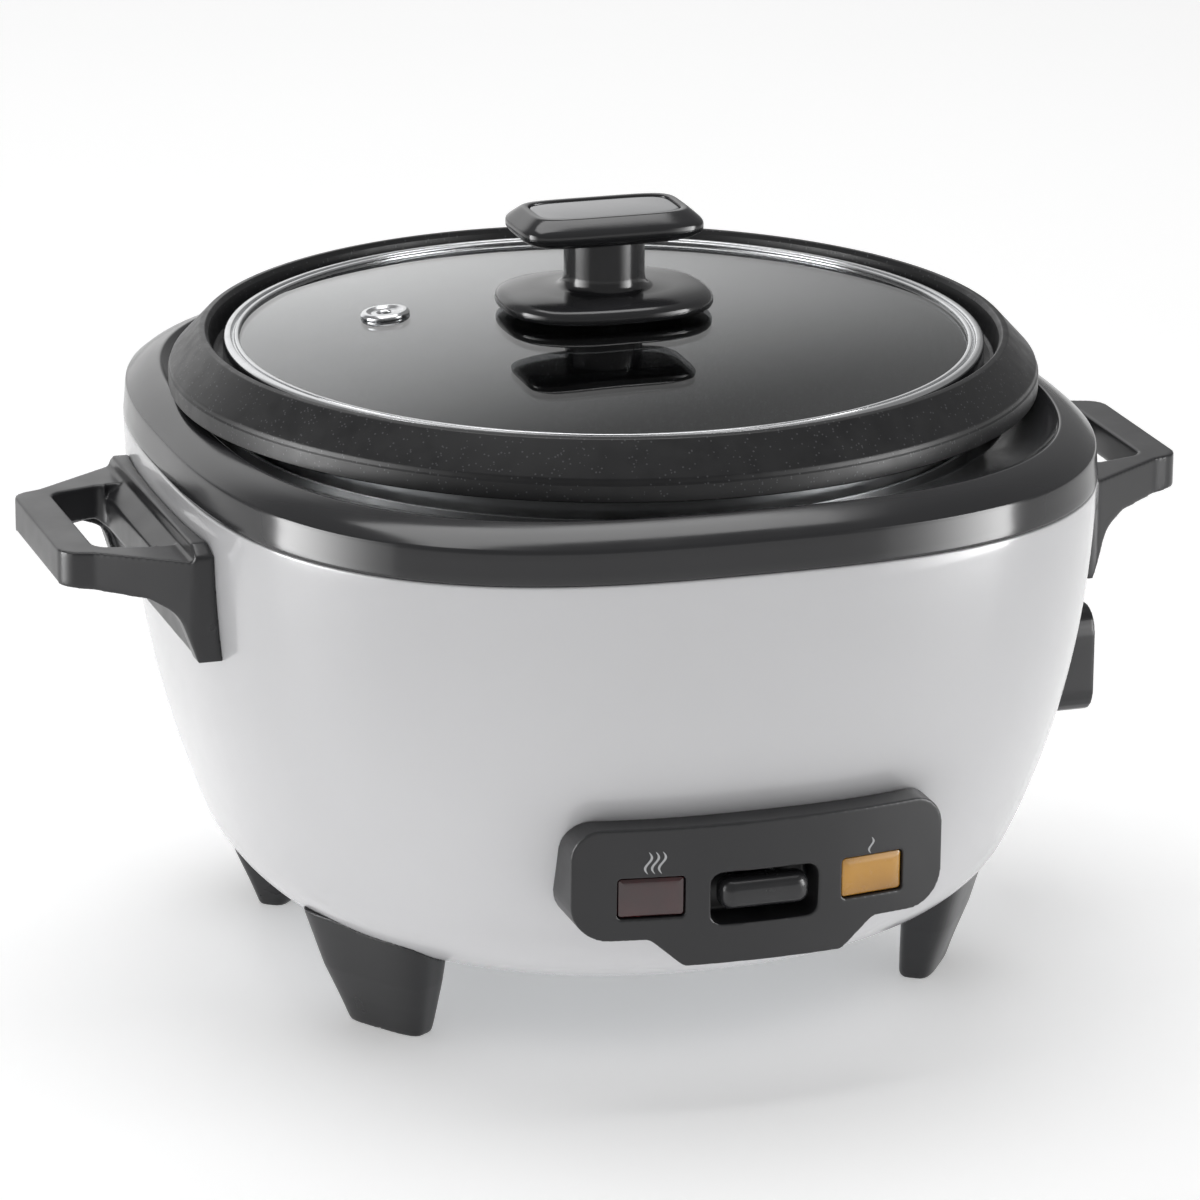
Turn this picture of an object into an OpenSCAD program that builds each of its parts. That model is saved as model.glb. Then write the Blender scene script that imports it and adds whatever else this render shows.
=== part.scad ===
// Electric rice cooker: white enamelled body on four feet, dark collar, lift-out bowl and glass lid.
// Frame: origin on the bowl's axis at the floor, +X to the right, -Y to the front, +Z up, millimetres.

/* [Body] */
// Width of the shell at its top edge, without the handles
body_w = 277.4; // [274:0.2:340]
// Depth of the shell at its top edge, front to back
body_d = 295.4; // [284:0.2:360]
// Height of the white shell, from its underside to its top edge
shell_h = 136; // [125:1:175]
// How far each side draws in between the top edge and the underside
side_taper = 27.3; // [20:0.1:30]
// Power of the curve along which the sides draw in
side_curve = 2.5; // [1.8:0.1:3]
// Radius of the bend between the sides and the underside
corner_r = 22; // [16:1:24]
// Squareness of the plan at the top edge, where 2 is a plain ellipse
square_top = 2.8; // [2.4:0.1:3]
// Squareness of the plan at the underside
square_base = 2.2; // [2:0.1:2.5]
// Thickness of the enamelled steel
shell_t = 1.2; // [0.8:0.1:2]
// Width of the flange turned in under the shell
flange_w = 3; // [2:0.5:6]
// Height of the feet, from the floor to the underside of the shell
foot_h = 24; // [18:1:32]

/* [Collar] */
// Height of the upright band above the shell
band_h = 10.5; // [6:0.5:16]
// Height of the rounded shoulder above the band
shoulder_h = 5.5; // [3:0.5:9]
// Distance from the outer face to the crease at the top of the shoulder
shoulder_in = 10.5; // [7:0.5:11]
// How far the recess round the bowl drops below the crease
recess_drop = 8; // [5:0.5:12]

/* [Bowl] */
// Inner radius of the bowl's wall
bowl_r = 109; // [85:1:111]
// Thickness of the bowl's aluminium
bowl_t = 2; // [1.2:0.1:3]
// Gap between the bowl's wall and the liner
bowl_gap = 4; // [2.5:0.5:4]
// Width of the ledge that carries the lid
ledge_w = 9; // [7:0.5:10]
// Height of the lip above the ledge
lip_h = 8.5; // [6:0.5:12]
// Width of the sloping rim outside the lip
rim_w = 10; // [7:0.5:12]
// Gap between the lower edge of the rim and the top of the collar
rim_gap = 2; // [1:0.5:5]

/* [Lid] */
// Gap between the lid's steel ring and the outer edge of the ledge
lid_gap = 3; // [1:0.5:4]
// Thickness of the glass
glass_t = 4; // [3:0.5:5]
// Rise of the glass from its edge to its middle
dome_h = 9.4; // [6:0.2:16]
// Diameter of the hole in the steam eyelet
vent_bore = 3.8; // [2:0.2:4]
// Distance from the middle of the lid to the steam eyelet
vent_reach = 66; // [50:1:80]
// Length of the grip on the knob
grip_l = 57; // [45:1:70]
// Depth of the grip on the knob
grip_d = 34; // [28:1:42]
// Thickness of the grip on the knob
grip_t = 9; // [7:0.5:12]
// Height of the knob's stem
stem_h = 15; // [12:1:22]
// Diameter of the knob's stem
stem_d = 24.5; // [18:0.5:27]

/* [Handles] */
// How far each handle stands out from the side of the body
handle_reach = 38; // [32:1:46]
// Length of the grip bar
handle_l = 68; // [56:1:80]
// Length of the handle where it meets the body
handle_root = 104; // [90:1:112]
// Thickness of the grip bar
handle_t = 10.5; // [8:0.5:14]
// Height of the legs that stiffen the handle against the body
handle_leg = 31; // [24:1:36]

/* [Control panel] */
// Width of the panel
panel_w = 113; // [105:1:125]
// Height of the panel at its middle
panel_h = 42.5; // [40:0.5:48]
// Height of the panel's shallower ends
panel_end_h = 33.8; // [31:0.2:36]
// How far the panel's front stands in front of the shell's top edge
panel_proud = 4; // [2:0.5:8]
// Width of a lamp lens
lens_w = 19.4; // [14:0.2:21]
// Height of a lamp lens
lens_h = 11.8; // [9:0.2:13]
// Width of the lever's window
window_w = 32.6; // [30:0.2:36]
// Height of the lever's window
window_h = 15.8; // [15:0.2:18]
// How far the tip of the lever is pressed down
lever_travel = 3; // [2:0.1:3.2]

/* [Heater] */
// Height of the top of the heating plate above the underside of the shell
plate_up = 42; // [40:1:50]
// Thickness of the cast heating plate
plate_t = 14; // [12:0.5:16]
// Radius of the heating element's ring
element_r = 50; // [40:1:54]
// Diameter of the heating element's tube
element_d = 7; // [6:0.2:8]
// Diameter of the sensor cap in the middle of the heating plate
cap_d = 31; // [28:0.5:34]
// How far the sensor cap rises when the bowl is lifted
cap_rise = 3; // [2:0.5:3]

/* [Fits] */
// Radial clearance between a pin or rod and the bore it turns or slides in
run_clear = 0.05; // [0.02:0.01:0.1]
// Gap between a moulding and the opening it drops into
drop_clear = 0.2; // [0.1:0.05:0.4]

/* [Hidden] */
$fn = 72;

plan_steps = 64;
charcoal = "#48484b";
steel = "#c4c6c8";
far = 400;

half_w = body_w / 2;
half_d = body_d / 2;
shell_z0 = foot_h;
shell_z1 = shell_z0 + shell_h;
corner_z = shell_z0 + corner_r;
band_z = shell_z1 + band_h;
crease_z = band_z + shoulder_h;
recess_z = crease_z - recess_drop;
band_lean = 0.8;
collar_t = 2;
tongue_h = 8;

liner_t = 0.8;
liner_r = bowl_r + bowl_t + bowl_gap;
liner_out = liner_r + liner_t;
collar_hole_r = liner_out + 0.4;
recess_r = collar_hole_r + 6.3;
plate_z = shell_z0 + plate_up;
plate_low = plate_z - plate_t;
liner_low = plate_low - 4;
liner_hole_r = element_r + 12;
plate_r = bowl_r - 22;
pillar_reach = (element_r + element_d / 2 + plate_r) / 2;
pillar_angles = [90, 210, 330];
pillar_r = 4;

ledge_r = bowl_r + ledge_w;
lip_r = ledge_r + 3.5;
rim_r = lip_r + rim_w;
rim_low = crease_z + rim_gap;
rim_lip = 5;
ledge_z = rim_low + 8;
lip_z = ledge_z + lip_h;
bowl_corner = 18;

lid_r = ledge_r - lid_gap;
ring_h = 6;
ring_w = 5;
glass_edge_r = lid_r - 1.2;
glass_low = ledge_z + (ring_h - glass_t) / 2;
glass_top = glass_low + glass_t + dome_h;
dome_r = (pow(glass_edge_r, 2) + pow(dome_h, 2)) / (2 * dome_h);
vent_angle = 163;
vent_flange_r = 7.5;
vent_body_r = 4.6;
screw_r = 2.5;
pad_t = 0.8;
skirt_z = glass_top + pad_t;
skirt_t = 6;
skirt_l = grip_l + 8;
skirt_d = grip_d + 19;
grip_z = skirt_z + skirt_t + stem_h;

handle_z = shell_z1 - 12.5;
handle_x = half_w + handle_reach;
handle_lip = 4.5;
handle_hole_x = 8.5;
handle_bar = 11;
handle_screw_y = handle_root / 2 - 10;
handle_screw_z = handle_z - 8;

panel_z = shell_z0 + 63.5;
panel_y = half_d + panel_proud;
panel_r = 235;
panel_t = 3;
panel_low = panel_z - panel_h;
lamp_z = panel_z - 21;
lamp_x = 33.7;
lamp_turn = asin(lamp_x / panel_r);
window_z = panel_z - 22.7;
boss_x = 49;
boss_z = panel_z - 16.4;

lever_w = 27;
lever_h = 9.2;
lever_z = window_z + 1;
lever_front = panel_y + 2;
lever_back = panel_y - panel_t - 2.5;
pivot_y = -86;
pivot_z = shell_z0 + 10;
arm_z = shell_z0 + 6;
arm_t = 2;
arm_w = 10;
arm_tip = 4;
lever_angle = lever_travel / (panel_y + pivot_y) * 180 / PI;
magnet_travel = -pivot_y * lever_angle * PI / 180;
pin_r = 1.5;

cap_r = cap_d / 2;
cap_t = 1;
cap_low = plate_low - cap_rise - 1;
magnet_low = plate_low - 5.8;
magnet_top = plate_low + 3;
rod_r = 3;
bracket_z = plate_low - 15;
bracket_t = 1.2;
bracket_r = cap_r + 5;
ferrite_low = magnet_top + magnet_travel + 0.3;

switch_y = pivot_y + 22;
switch_low = arm_z + arm_t / 2 + 3;
switch_h = 10;

inlet_z = shell_z0 + 54;
inlet_x = half_w + 17;
inlet_w = 40;
inlet_h = 34.5;
inlet_depth = 18;
pin_gap = 7;
tab_x = inlet_x - inlet_depth - 9;

foot_x = half_w - 52.7;
foot_y = half_d - 87.7;
foot_turn = 35;

wire_r = 1.1;
wire_room = 4.5;
element_gap = 22;
terminal_x = element_r * cos(element_gap);
terminal_y = element_r * sin(element_gap);
terminal_z = plate_low - 10;
heater_mid_r = (cap_d / 2 + 2.5 + element_r - element_d / 2) / 2;

// ---- outlines and lofts ----

function plan_point(a, b, n, t) =
    [a * sign(cos(t)) * pow(abs(cos(t)), 2 / n), b * sign(sin(t)) * pow(abs(sin(t)), 2 / n)];

// Superellipse outline with half sizes a and b and squareness n, at height z
function plan(a, b, n, z) =
    [for (i = [0 : plan_steps - 1]) let (p = plan_point(a, b, n, i * 360 / plan_steps)) [p[0], p[1], z]];

function round_plan(r, z) = plan(r, r, 2, z);

function moved(ring, by) = [for (p = ring) p + by];

// Half width of the body's wall at a distance y from its middle and height z, with a wall of t taken off
function wall_x(y, z, t) = let (n = squareness(z))
    (half_w - inset(z, t)) * pow(1 - pow(abs(y) / (half_d - inset(z, t)), n), 1 / n);

// Half depth of the body's wall at a distance x from its middle and height z, with a wall of t taken off
function wall_y(x, z, t) = let (n = squareness(z))
    (half_d - inset(z, t)) * pow(1 - pow(abs(x) / (half_w - inset(z, t)), n), 1 / n);

// How far the body's side is inside its top edge at height z, with a wall of t taken off
function inset(z, t) = side_taper * pow(max(0, shell_z1 - z) / shell_h, side_curve) + t + (z < corner_z
    ? (corner_r - t) * (1 - sqrt(max(0, 1 - pow((corner_z - z) / (corner_r - t), 2))))
    : 0);

function squareness(z) = square_base + (square_top - square_base) * min(1, (z - shell_z0) / shell_h);

// The body's outline at height z, with a wall of t taken off
function body_ring(z, t) = plan(half_w - inset(z, t), half_d - inset(z, t), squareness(z), z);

function body_levels(t) = concat(
    [for (a = [90, 70, 50, 32, 15]) corner_z - (corner_r - t) * sin(a)],
    [for (i = [0 : 5]) corner_z + (shell_z1 - corner_z) * i / 5]);

// Outline that follows the top edge of the shell, a distance in from it
function edge_ring(z, in) = plan(half_w - in, half_d - in, square_top, z);

function side_faces(count, last) = [for (i = [0 : last - 1]) for (j = [0 : plan_steps - 1])
    let (k = (j + 1) % plan_steps, up = (i + 1) % count)
    [i * plan_steps + j, up * plan_steps + j, up * plan_steps + k, i * plan_steps + k]];

// Solid through a stack of outlines, closed by flat ends
module loft(rings) {
    count = len(rings);
    points = [for (ring = rings) for (p = ring) p];
    bottom = [for (j = [0 : plan_steps - 1]) j];
    top = [for (j = [0 : plan_steps - 1]) count * plan_steps - 1 - j];
    polyhedron(points, concat(side_faces(count, count - 1), [bottom], [top]), convexity = 6);
}

// Ring-shaped solid through outlines that go once round its section
module hoop(rings) {
    count = len(rings);
    points = [for (ring = rings) for (p = ring) p];
    polyhedron(points, side_faces(count, count), convexity = 8);
}

// The body's outer form as one solid, which its neighbours are cut to
module body_form() {
    loft([for (z = body_levels(0)) body_ring(z, 0)]);
}

// Rectangle with round corners, on the XY plane
module round_rect(w, h, r) {
    hull()
        for (x = [-1, 1])
            for (y = [-1, 1])
                translate([x * (w / 2 - r), y * (h / 2 - r)])
                    circle(r, $fn = 32);
}

// Box between two opposite corners
module bar(from, to) {
    translate(from)
        cube(to - from);
}

// Cylinder along Y, from y0 to y1
module rod_y(r, y0, y1) {
    translate([0, y0, 0])
        rotate([-90, 0, 0])
            cylinder(r = r, h = y1 - y0);
}

// Cylinder along X, from x0 to x1
module rod_x(r, x0, x1) {
    translate([x0, 0, 0])
        rotate([0, 90, 0])
            cylinder(r = r, h = x1 - x0);
}

// Pan-head screw that points up, with its head's underside at z = 0
module screw(r, length, head_r, head_h) {
    cylinder(r = r, h = length);
    difference() {
        translate([0, 0, -head_h])
            cylinder(r = head_r, h = head_h);
        for (a = [0, 90])
            rotate([0, 0, a])
                translate([-head_r * 0.6, -r * 0.2, -head_h - 1])
                    cube([head_r * 1.2, r * 0.4, 1 + head_h * 0.5]);
    }
}

// ---- wires ----

function unit(v) = v / norm(v);

// Point on a smooth curve through p1 and p2, with neighbours p0 and p3
function curve_point(p0, p1, p2, p3, t) = 0.5 * (2 * p1 + (p2 - p0) * t
    + (2 * p0 - 5 * p1 + 4 * p2 - p3) * t * t + (3 * p1 - p0 - 3 * p2 + p3) * t * t * t);

function smooth(path, steps) = let (n = len(path)) concat(
    [for (i = [0 : n - 2]) for (s = [0 : steps - 1])
        curve_point(path[max(0, i - 1)], path[i], path[i + 1], path[min(n - 1, i + 2)], s / steps)],
    [path[n - 1]]);

// Round wire of radius r along a path
module wire(path, r) {
    sides = 8;
    route = smooth(path, 4);
    n = len(route);
    points = [for (i = [0 : n - 1])
        let (along = unit(route[min(n - 1, i + 1)] - route[max(0, i - 1)]),
            side = unit(cross(along, [0.31, 0.87, 0.39])),
            up = cross(side, along))
        for (k = [0 : sides - 1])
            route[i] + r * (side * cos(k * 360 / sides) + up * sin(k * 360 / sides))];
    walls = [for (i = [0 : n - 2]) for (k = [0 : sides - 1])
        let (m = (k + 1) % sides)
        [i * sides + k, i * sides + m, (i + 1) * sides + m, (i + 1) * sides + k]];
    start = [for (k = [0 : sides - 1]) sides - 1 - k];
    end = [for (k = [0 : sides - 1]) (n - 1) * sides + k];
    polyhedron(points, concat(walls, [start], [end]), convexity = 8);
}

// Spring of stacked round turns, joined on the inside by a thin sleeve
module spring(r, wire_r, z0, z1, turns) {
    pitch = (z1 - z0 - 2 * wire_r) / (turns - 1);
    translate([0, 0, z0])
        difference() {
            cylinder(r = r, h = z1 - z0);
            translate([0, 0, -1])
                cylinder(r = r - 2 * wire_r, h = z1 - z0 + 2);
            for (i = [0 : turns - 2])
                translate([0, 0, wire_r * 2 + pitch * i])
                    difference() {
                        cylinder(r = r + 1, h = pitch - wire_r * 2);
                        translate([0, 0, -1])
                            cylinder(r = r - wire_r, h = pitch + 2);
                    }
        }
}

// ---- casing ----

module outer_shell() {
    outside = [for (z = body_levels(0)) body_ring(z, 0)];
    inside = [for (z = body_levels(shell_t)) body_ring(z, shell_t)];
    count = len(inside);
    hole = inset(shell_z0, 0) + flange_w;
    hole_low = plan(half_w - hole, half_d - hole, square_base, shell_z0);
    hole_high = moved(hole_low, [0, 0, shell_t]);
    color("white")
        difference() {
            hoop(concat([hole_low], outside, [for (i = [1 : count]) inside[count - i]], [hole_high]));
            for (side = [-1, 1])
                for (y = [-1, 1])
                    translate([side * (half_w - 10), y * handle_screw_y, handle_screw_z])
                        rod_x(2.2, -8, 14);
            foot_places()
                cylinder(r = 2.2, h = 2 * corner_r);
            lever_slot();
            for (side = [-1, 1]) {
                panel_turn(side)
                    translate([0, 0, lamp_z])
                        rod_y(3.4, -panel_y - 1, 40 - panel_y);
                translate([side * boss_x, 0, boss_z])
                    rod_y(1.7, -panel_y - 1, 60 - panel_y);
                translate([0, side * 15, inlet_z])
                    rod_x(1.7, half_w - 40, inlet_x - 6);
            }
            translate([0, 0, inlet_z])
                rod_x(10, half_w - 40, inlet_x - 6);
        }
}

// The slot through the shell and the back of the panel, where the lever's arm passes
module lever_slot() {
    slot_w = arm_w + 4;
    bar([-slot_w / 2, -panel_y + panel_t, lever_z - 8], [slot_w / 2, 40 - panel_y, lever_z + 5]);
}

module top_collar() {
    shoulder = [for (a = [0 : 15 : 90])
        edge_ring(band_z + shoulder_h * sin(a), band_lean + (shoulder_in - band_lean) * (1 - cos(a)))];
    skirt_r = collar_hole_r + collar_t;
    tongue = shell_t + drop_clear;
    color(charcoal)
        hoop(concat([edge_ring(shell_z1, 0)], shoulder, [
            round_plan(recess_r, recess_z),
            round_plan(recess_r, recess_z - liner_t),
            round_plan(collar_hole_r, recess_z - liner_t),
            round_plan(collar_hole_r, recess_z - 18),
            round_plan(skirt_r, recess_z - 18),
            round_plan(skirt_r, recess_z - 4),
            edge_ring(shell_z1 + 5.5, tongue + collar_t),
            body_ring(shell_z1 - tongue_h, tongue + collar_t),
            body_ring(shell_z1 - tongue_h, tongue),
            edge_ring(shell_z1, tongue)]));
}

module base_plate() {
    rim = inset(shell_z0, 0) + 0.5;
    color(steel)
        difference() {
            translate([0, 0, shell_z0 - 1.5])
                linear_extrude(1.5)
                    polygon([for (p = plan(half_w - rim, half_d - rim, square_base, 0)) [p[0], p[1]]]);
            pillar_places()
                translate([0, 0, shell_z0 - 5])
                    cylinder(r = 1.9, h = 10);
            for (a = [30 : 60 : 330])
                for (r = [34 : 8 : 58])
                    rotate([0, 0, a])
                        translate([r - 1.5, -9, shell_z0 - 5])
                            cube([3, 18, 10]);
        }
}

// ---- handles ----

module handle_outline() {
    root = handle_root / 2;
    grip = handle_l / 2;
    polygon([[half_w - 20, -root], [half_w + 3, -root], [handle_x - 9, 1 - grip], [handle_x - 3, 4 - grip],
        [handle_x, 9 - grip], [handle_x, grip - 9], [handle_x - 3, grip - 4], [handle_x - 9, grip - 1],
        [half_w + 3, root], [half_w - 20, root]]);
}

// Outline of the handle seen along Y: flat top, a bar at the outer end and a curved leg at the wall
module handle_profile() {
    low = handle_z - handle_leg;
    polygon([[half_w - 20, handle_z], [handle_x, handle_z], [handle_x, handle_z - handle_t],
        [half_w + 14, handle_z - 13], [half_w + 10, handle_z - 14.7], [half_w + 7.3, handle_z - 18],
        [half_w + 5.2, handle_z - 23], [half_w + 2.2, low], [half_w - 20, low]]);
}

// Hollow for the fingers under the handle, between its two side webs
module handle_hollow() {
    web = 7;
    intersection() {
        translate([0, handle_root / 2 - web, 0])
            rotate([90, 0, 0])
                linear_extrude(handle_root - 2 * web)
                    polygon([[half_w + 1.5, handle_z - handle_leg - 1],
                        [half_w + 2, handle_z - handle_leg + 6], [half_w + 4, handle_z - 19],
                        [half_w + 7.5, handle_z - 14], [half_w + 12, handle_z - handle_t],
                        [far, handle_z - handle_t], [far, handle_z - handle_leg - 1]]);
        translate([0, 0, -1])
            linear_extrude(handle_z)
                polygon([[half_w - 20, web - handle_root / 2], [half_w + 3, web - handle_root / 2],
                    [handle_x - 9, web - handle_l / 2], [handle_x + 9, web - handle_l / 2],
                    [handle_x + 9, handle_l / 2 - web], [handle_x - 9, handle_l / 2 - web],
                    [half_w + 3, handle_root / 2 - web], [half_w - 20, handle_root / 2 - web]]);
    }
}

module handle() {
    inner = handle_root / 2 - 19;
    outer = handle_l / 2 - 6;
    hole_z = handle_z - handle_t - 20;
    difference() {
        union() {
            intersection() {
                linear_extrude(far)
                    handle_outline();
                translate([0, far / 2, 0])
                    rotate([90, 0, 0])
                        linear_extrude(far)
                            handle_profile();
            }
            translate([half_w - 20, 0, 0])
                rotate([90, 0, 90])
                    linear_extrude(23)
                        polygon([[-handle_root / 2, handle_z - 8], [handle_root / 2, handle_z - 8],
                            [handle_root / 2, handle_z + 1.5],
                            [handle_root / 2 - 5, handle_z + handle_lip],
                            [5 - handle_root / 2, handle_z + handle_lip],
                            [-handle_root / 2, handle_z + 1.5]]);
        }
        translate([0, 0, hole_z])
            linear_extrude(far)
                polygon([[half_w + handle_hole_x, -inner], [handle_x - handle_bar, -outer],
                    [handle_x - handle_bar, outer], [half_w + handle_hole_x, inner]]);
        rotate([90, 0, 0])
            linear_extrude(2 * inner - 1, center = true)
                polygon([[half_w + 3.5, handle_z + 0.01], [half_w + 9, handle_z - 4],
                    [half_w + 9, handle_z + 1], [half_w + 3.5, handle_z + 1]]);
        handle_hollow();
        for (y = [-1, 1])
            translate([0, y * handle_screw_y, handle_screw_z])
                rod_x(2 + run_clear, half_w - 20, half_w + 12);
    }
}

module handle_left() {
    color(charcoal)
        difference() {
            mirror([1, 0, 0])
                handle();
            body_form();
        }
}

module handle_right() {
    color(charcoal)
        difference() {
            handle();
            body_form();
        }
}

module handle_screws() {
    head_r = 3.6;
    head_x = wall_x(handle_screw_y + head_r, handle_screw_z - head_r, shell_t) - 0.2;
    color(steel)
        for (side = [-1, 1])
            for (y = [-1, 1])
                translate([side * head_x, y * handle_screw_y, handle_screw_z])
                    rotate([0, side * 90, 0])
                        screw(2, 11, head_r, 1.8);
}

// ---- feet ----

module foot_places() {
    for (x = [-1, 1])
        for (y = [-1, 1])
            translate([x * foot_x, y * foot_y, 0])
                children();
}

// One foot: a blade with its broad face outward, wide at the top and drawn in to the floor
module foot(x, y) {
    rings = [for (level = [[0, 13, 4.6, -1], [1.2, 13.8, 5.4, -1], [9, 16.5, 6.6, 0.5],
        [18, 19.5, 8, 2.5], [foot_h + 12, 24, 10, 5.5]])
        [for (p = plan(level[1], level[2], 4, level[0])) p + [0, -level[3], 0]]];
    color(charcoal)
        difference() {
            translate([x * foot_x, y * foot_y, 0])
                rotate([0, 0, x * y * (foot_turn - 90)])
                    mirror([0, y > 0 ? 1 : 0, 0])
                        loft(rings);
            body_form();
            translate([x * foot_x, y * foot_y, 0]) {
                translate([0, 0, -1])
                    cylinder(r = 3.7, h = 13);
                cylinder(r = 2.2, h = far);
            }
        }
}

module foot_front_left() {
    foot(-1, -1);
}

module foot_front_right() {
    foot(1, -1);
}

module foot_rear_left() {
    foot(-1, 1);
}

module foot_rear_right() {
    foot(1, 1);
}

module foot_screws() {
    color(steel)
        foot_places()
            translate([0, 0, 12])
                screw(2, foot_h - 4, 3.5, 1.8);
}

// ---- control panel ----

// Places its children on the panel's curved front, turned to the left or right lamp
module panel_turn(side) {
    translate([0, panel_r - panel_y, 0])
        rotate([0, 0, side * lamp_turn])
            translate([0, -(panel_r - panel_y), 0])
                children();
}

// Outline of the panel seen from the front, drawn in by a margin on every side
module panel_outline(margin) {
    x = panel_w / 2;
    offset(delta = -margin)
        offset(r = 8)
            offset(delta = -8)
                polygon([[-x, panel_z], [x, panel_z], [x, panel_z - panel_end_h],
                    [33, panel_z - panel_end_h], [23, panel_low], [-23, panel_low],
                    [-33, panel_z - panel_end_h], [-x, panel_z - panel_end_h]]);
}

// Upright cylinder whose surface is a given depth behind the panel's curved front
module panel_drum(depth) {
    translate([0, panel_r - panel_y, 0])
        cylinder(r = panel_r - depth, h = far, $fn = 144);
}

module panel_block(margin, y1) {
    translate([0, y1, 0])
        rotate([90, 0, 0])
            linear_extrude(y1 + panel_y + 2)
                panel_outline(margin);
}

module control_panel() {
    color(charcoal)
        difference() {
            union() {
                difference() {
                    intersection() {
                        panel_block(0, 34 - half_d);
                        panel_drum(0);
                    }
                    intersection() {
                        panel_block(2.4, 35 - half_d);
                        panel_drum(panel_t);
                    }
                }
                for (side = [-1, 1])
                    translate([side * boss_x, 0, boss_z])
                        rod_y(3.2, -panel_y + 5, 30 - half_d);
            }
            body_form();
            translate([0, 1 - panel_y, window_z])
                rotate([90, 0, 0])
                    linear_extrude(8, center = true)
                        round_rect(window_w, window_h, 3.5);
            for (side = [-1, 1]) {
                panel_turn(side)
                    bar([-lens_w / 2 - drop_clear, -panel_y - 3, lamp_z - lens_h / 2 - drop_clear],
                        [lens_w / 2 + drop_clear, -panel_y + 5, lamp_z + lens_h / 2 + drop_clear]);
                translate([side * boss_x, 0, boss_z])
                    rod_y(1.5 + run_clear, -panel_y + 7, far);
            }
        }
}

module panel_screws() {
    head_r = 3;
    head_y = wall_y(boss_x + head_r, boss_z - head_r, shell_t) - 0.2;
    color(steel)
        for (side = [-1, 1])
            translate([side * boss_x, -head_y, boss_z])
                rotate([90, 0, 0])
                    screw(1.5, panel_y - head_y - 12, head_r, 1.5);
}

// Clear lens that fills one lamp window, with a flange behind the panel's wall
module lens(side) {
    panel_turn(side) {
        bar([-lens_w / 2, -panel_y + 0.8, lamp_z - lens_h / 2],
            [lens_w / 2, -panel_y + panel_t + 0.3, lamp_z + lens_h / 2]);
        bar([-lens_w / 2 - 1, -panel_y + panel_t + 0.3, lamp_z - lens_h / 2 - 1],
            [lens_w / 2 + 1, -panel_y + panel_t + 1.3, lamp_z + lens_h / 2 + 1]);
    }
}

module cook_lens() {
    color("darkred")
        lens(-1);
}

module warm_lens() {
    color("orange")
        lens(1);
}

// Neon lamp: a short glass tube with a lead at each end
module lamp(side) {
    bulb_r = 1.9;
    bulb_y = -panel_y + panel_t + 1.5 + bulb_r;
    panel_turn(side)
        translate([0, bulb_y, lamp_z]) {
            rod_x(bulb_r, -6, 6);
            rod_x(0.4, -8, 8);
            for (x = [-2, 2])
                translate([x, 0, 0])
                    rod_y(0.4, 0, 14);
        }
}

module cook_lamp() {
    color("tomato")
        lamp(-1);
}

module warm_lamp() {
    color("gold")
        lamp(1);
}

// ---- switch lever ----

module cook_lever() {
    color(charcoal)
        translate([0, 0, lever_z]) {
            difference() {
                translate([0, -lever_back, 0])
                    rotate([90, 0, 0])
                        linear_extrude(lever_front - lever_back)
                            round_rect(lever_w, lever_h, 3);
                bar([-arm_w / 2 - 0.1, -lever_back - 4, -arm_t / 2 - 0.1],
                    [arm_w / 2 + 0.1, 1 - lever_back, arm_t / 2 + 0.1]);
            }
        }
}

// Folded steel strip that links the lever to the magnet rod and turns on the pin
module lever_arm() {
    h = arm_t / 2;
    back = -lever_back - 3.5;
    bend = -liner_out - 6.5;
    low = pivot_y - 16;
    color(steel)
        difference() {
            union() {
                translate([-arm_w / 2, 0, 0])
                    rotate([90, 0, 90])
                        linear_extrude(arm_w)
                            polygon([[back, lever_z - h], [bend - h, lever_z - h], [bend - h, liner_low + 3],
                                [low - h, arm_z - h], [arm_tip, arm_z - h], [arm_tip, arm_z + h],
                                [low + h, arm_z + h], [bend + h, liner_low + 3 + h],
                                [bend + h, lever_z + h], [back, lever_z + h]]);
                translate([0, pivot_y, pivot_z])
                    rod_x(4.6, -arm_w / 2, arm_w / 2);
            }
            translate([0, pivot_y, pivot_z])
                rod_x(pin_r + run_clear, -arm_w, arm_w);
        }
}

module lever_bracket() {
    in = arm_w / 2 + 1;
    color(steel)
        difference() {
            union() {
                for (side = [-1, 1])
                    translate([side * (in + 0.75), pivot_y, 0]) {
                        bar([-0.75, -5, shell_z0], [0.75, 5, pivot_z]);
                        translate([0, 0, pivot_z])
                            rod_x(5, -0.75, 0.75);
                    }
                bar([-in - 1.5, pivot_y - 5, shell_z0], [in + 1.5, pivot_y + 5, shell_z0 + 1.5]);
            }
            translate([0, pivot_y, pivot_z])
                rod_x(pin_r + 0.02, -far, far);
        }
}

module lever_pin() {
    color(steel)
        translate([0, pivot_y, pivot_z]) {
            rod_x(pin_r, -arm_w / 2 - 4, arm_w / 2 + 4);
            rod_x(2.6, -arm_w / 2 - 5, -arm_w / 2 - 4);
        }
}

// ---- power inlet ----

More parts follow.
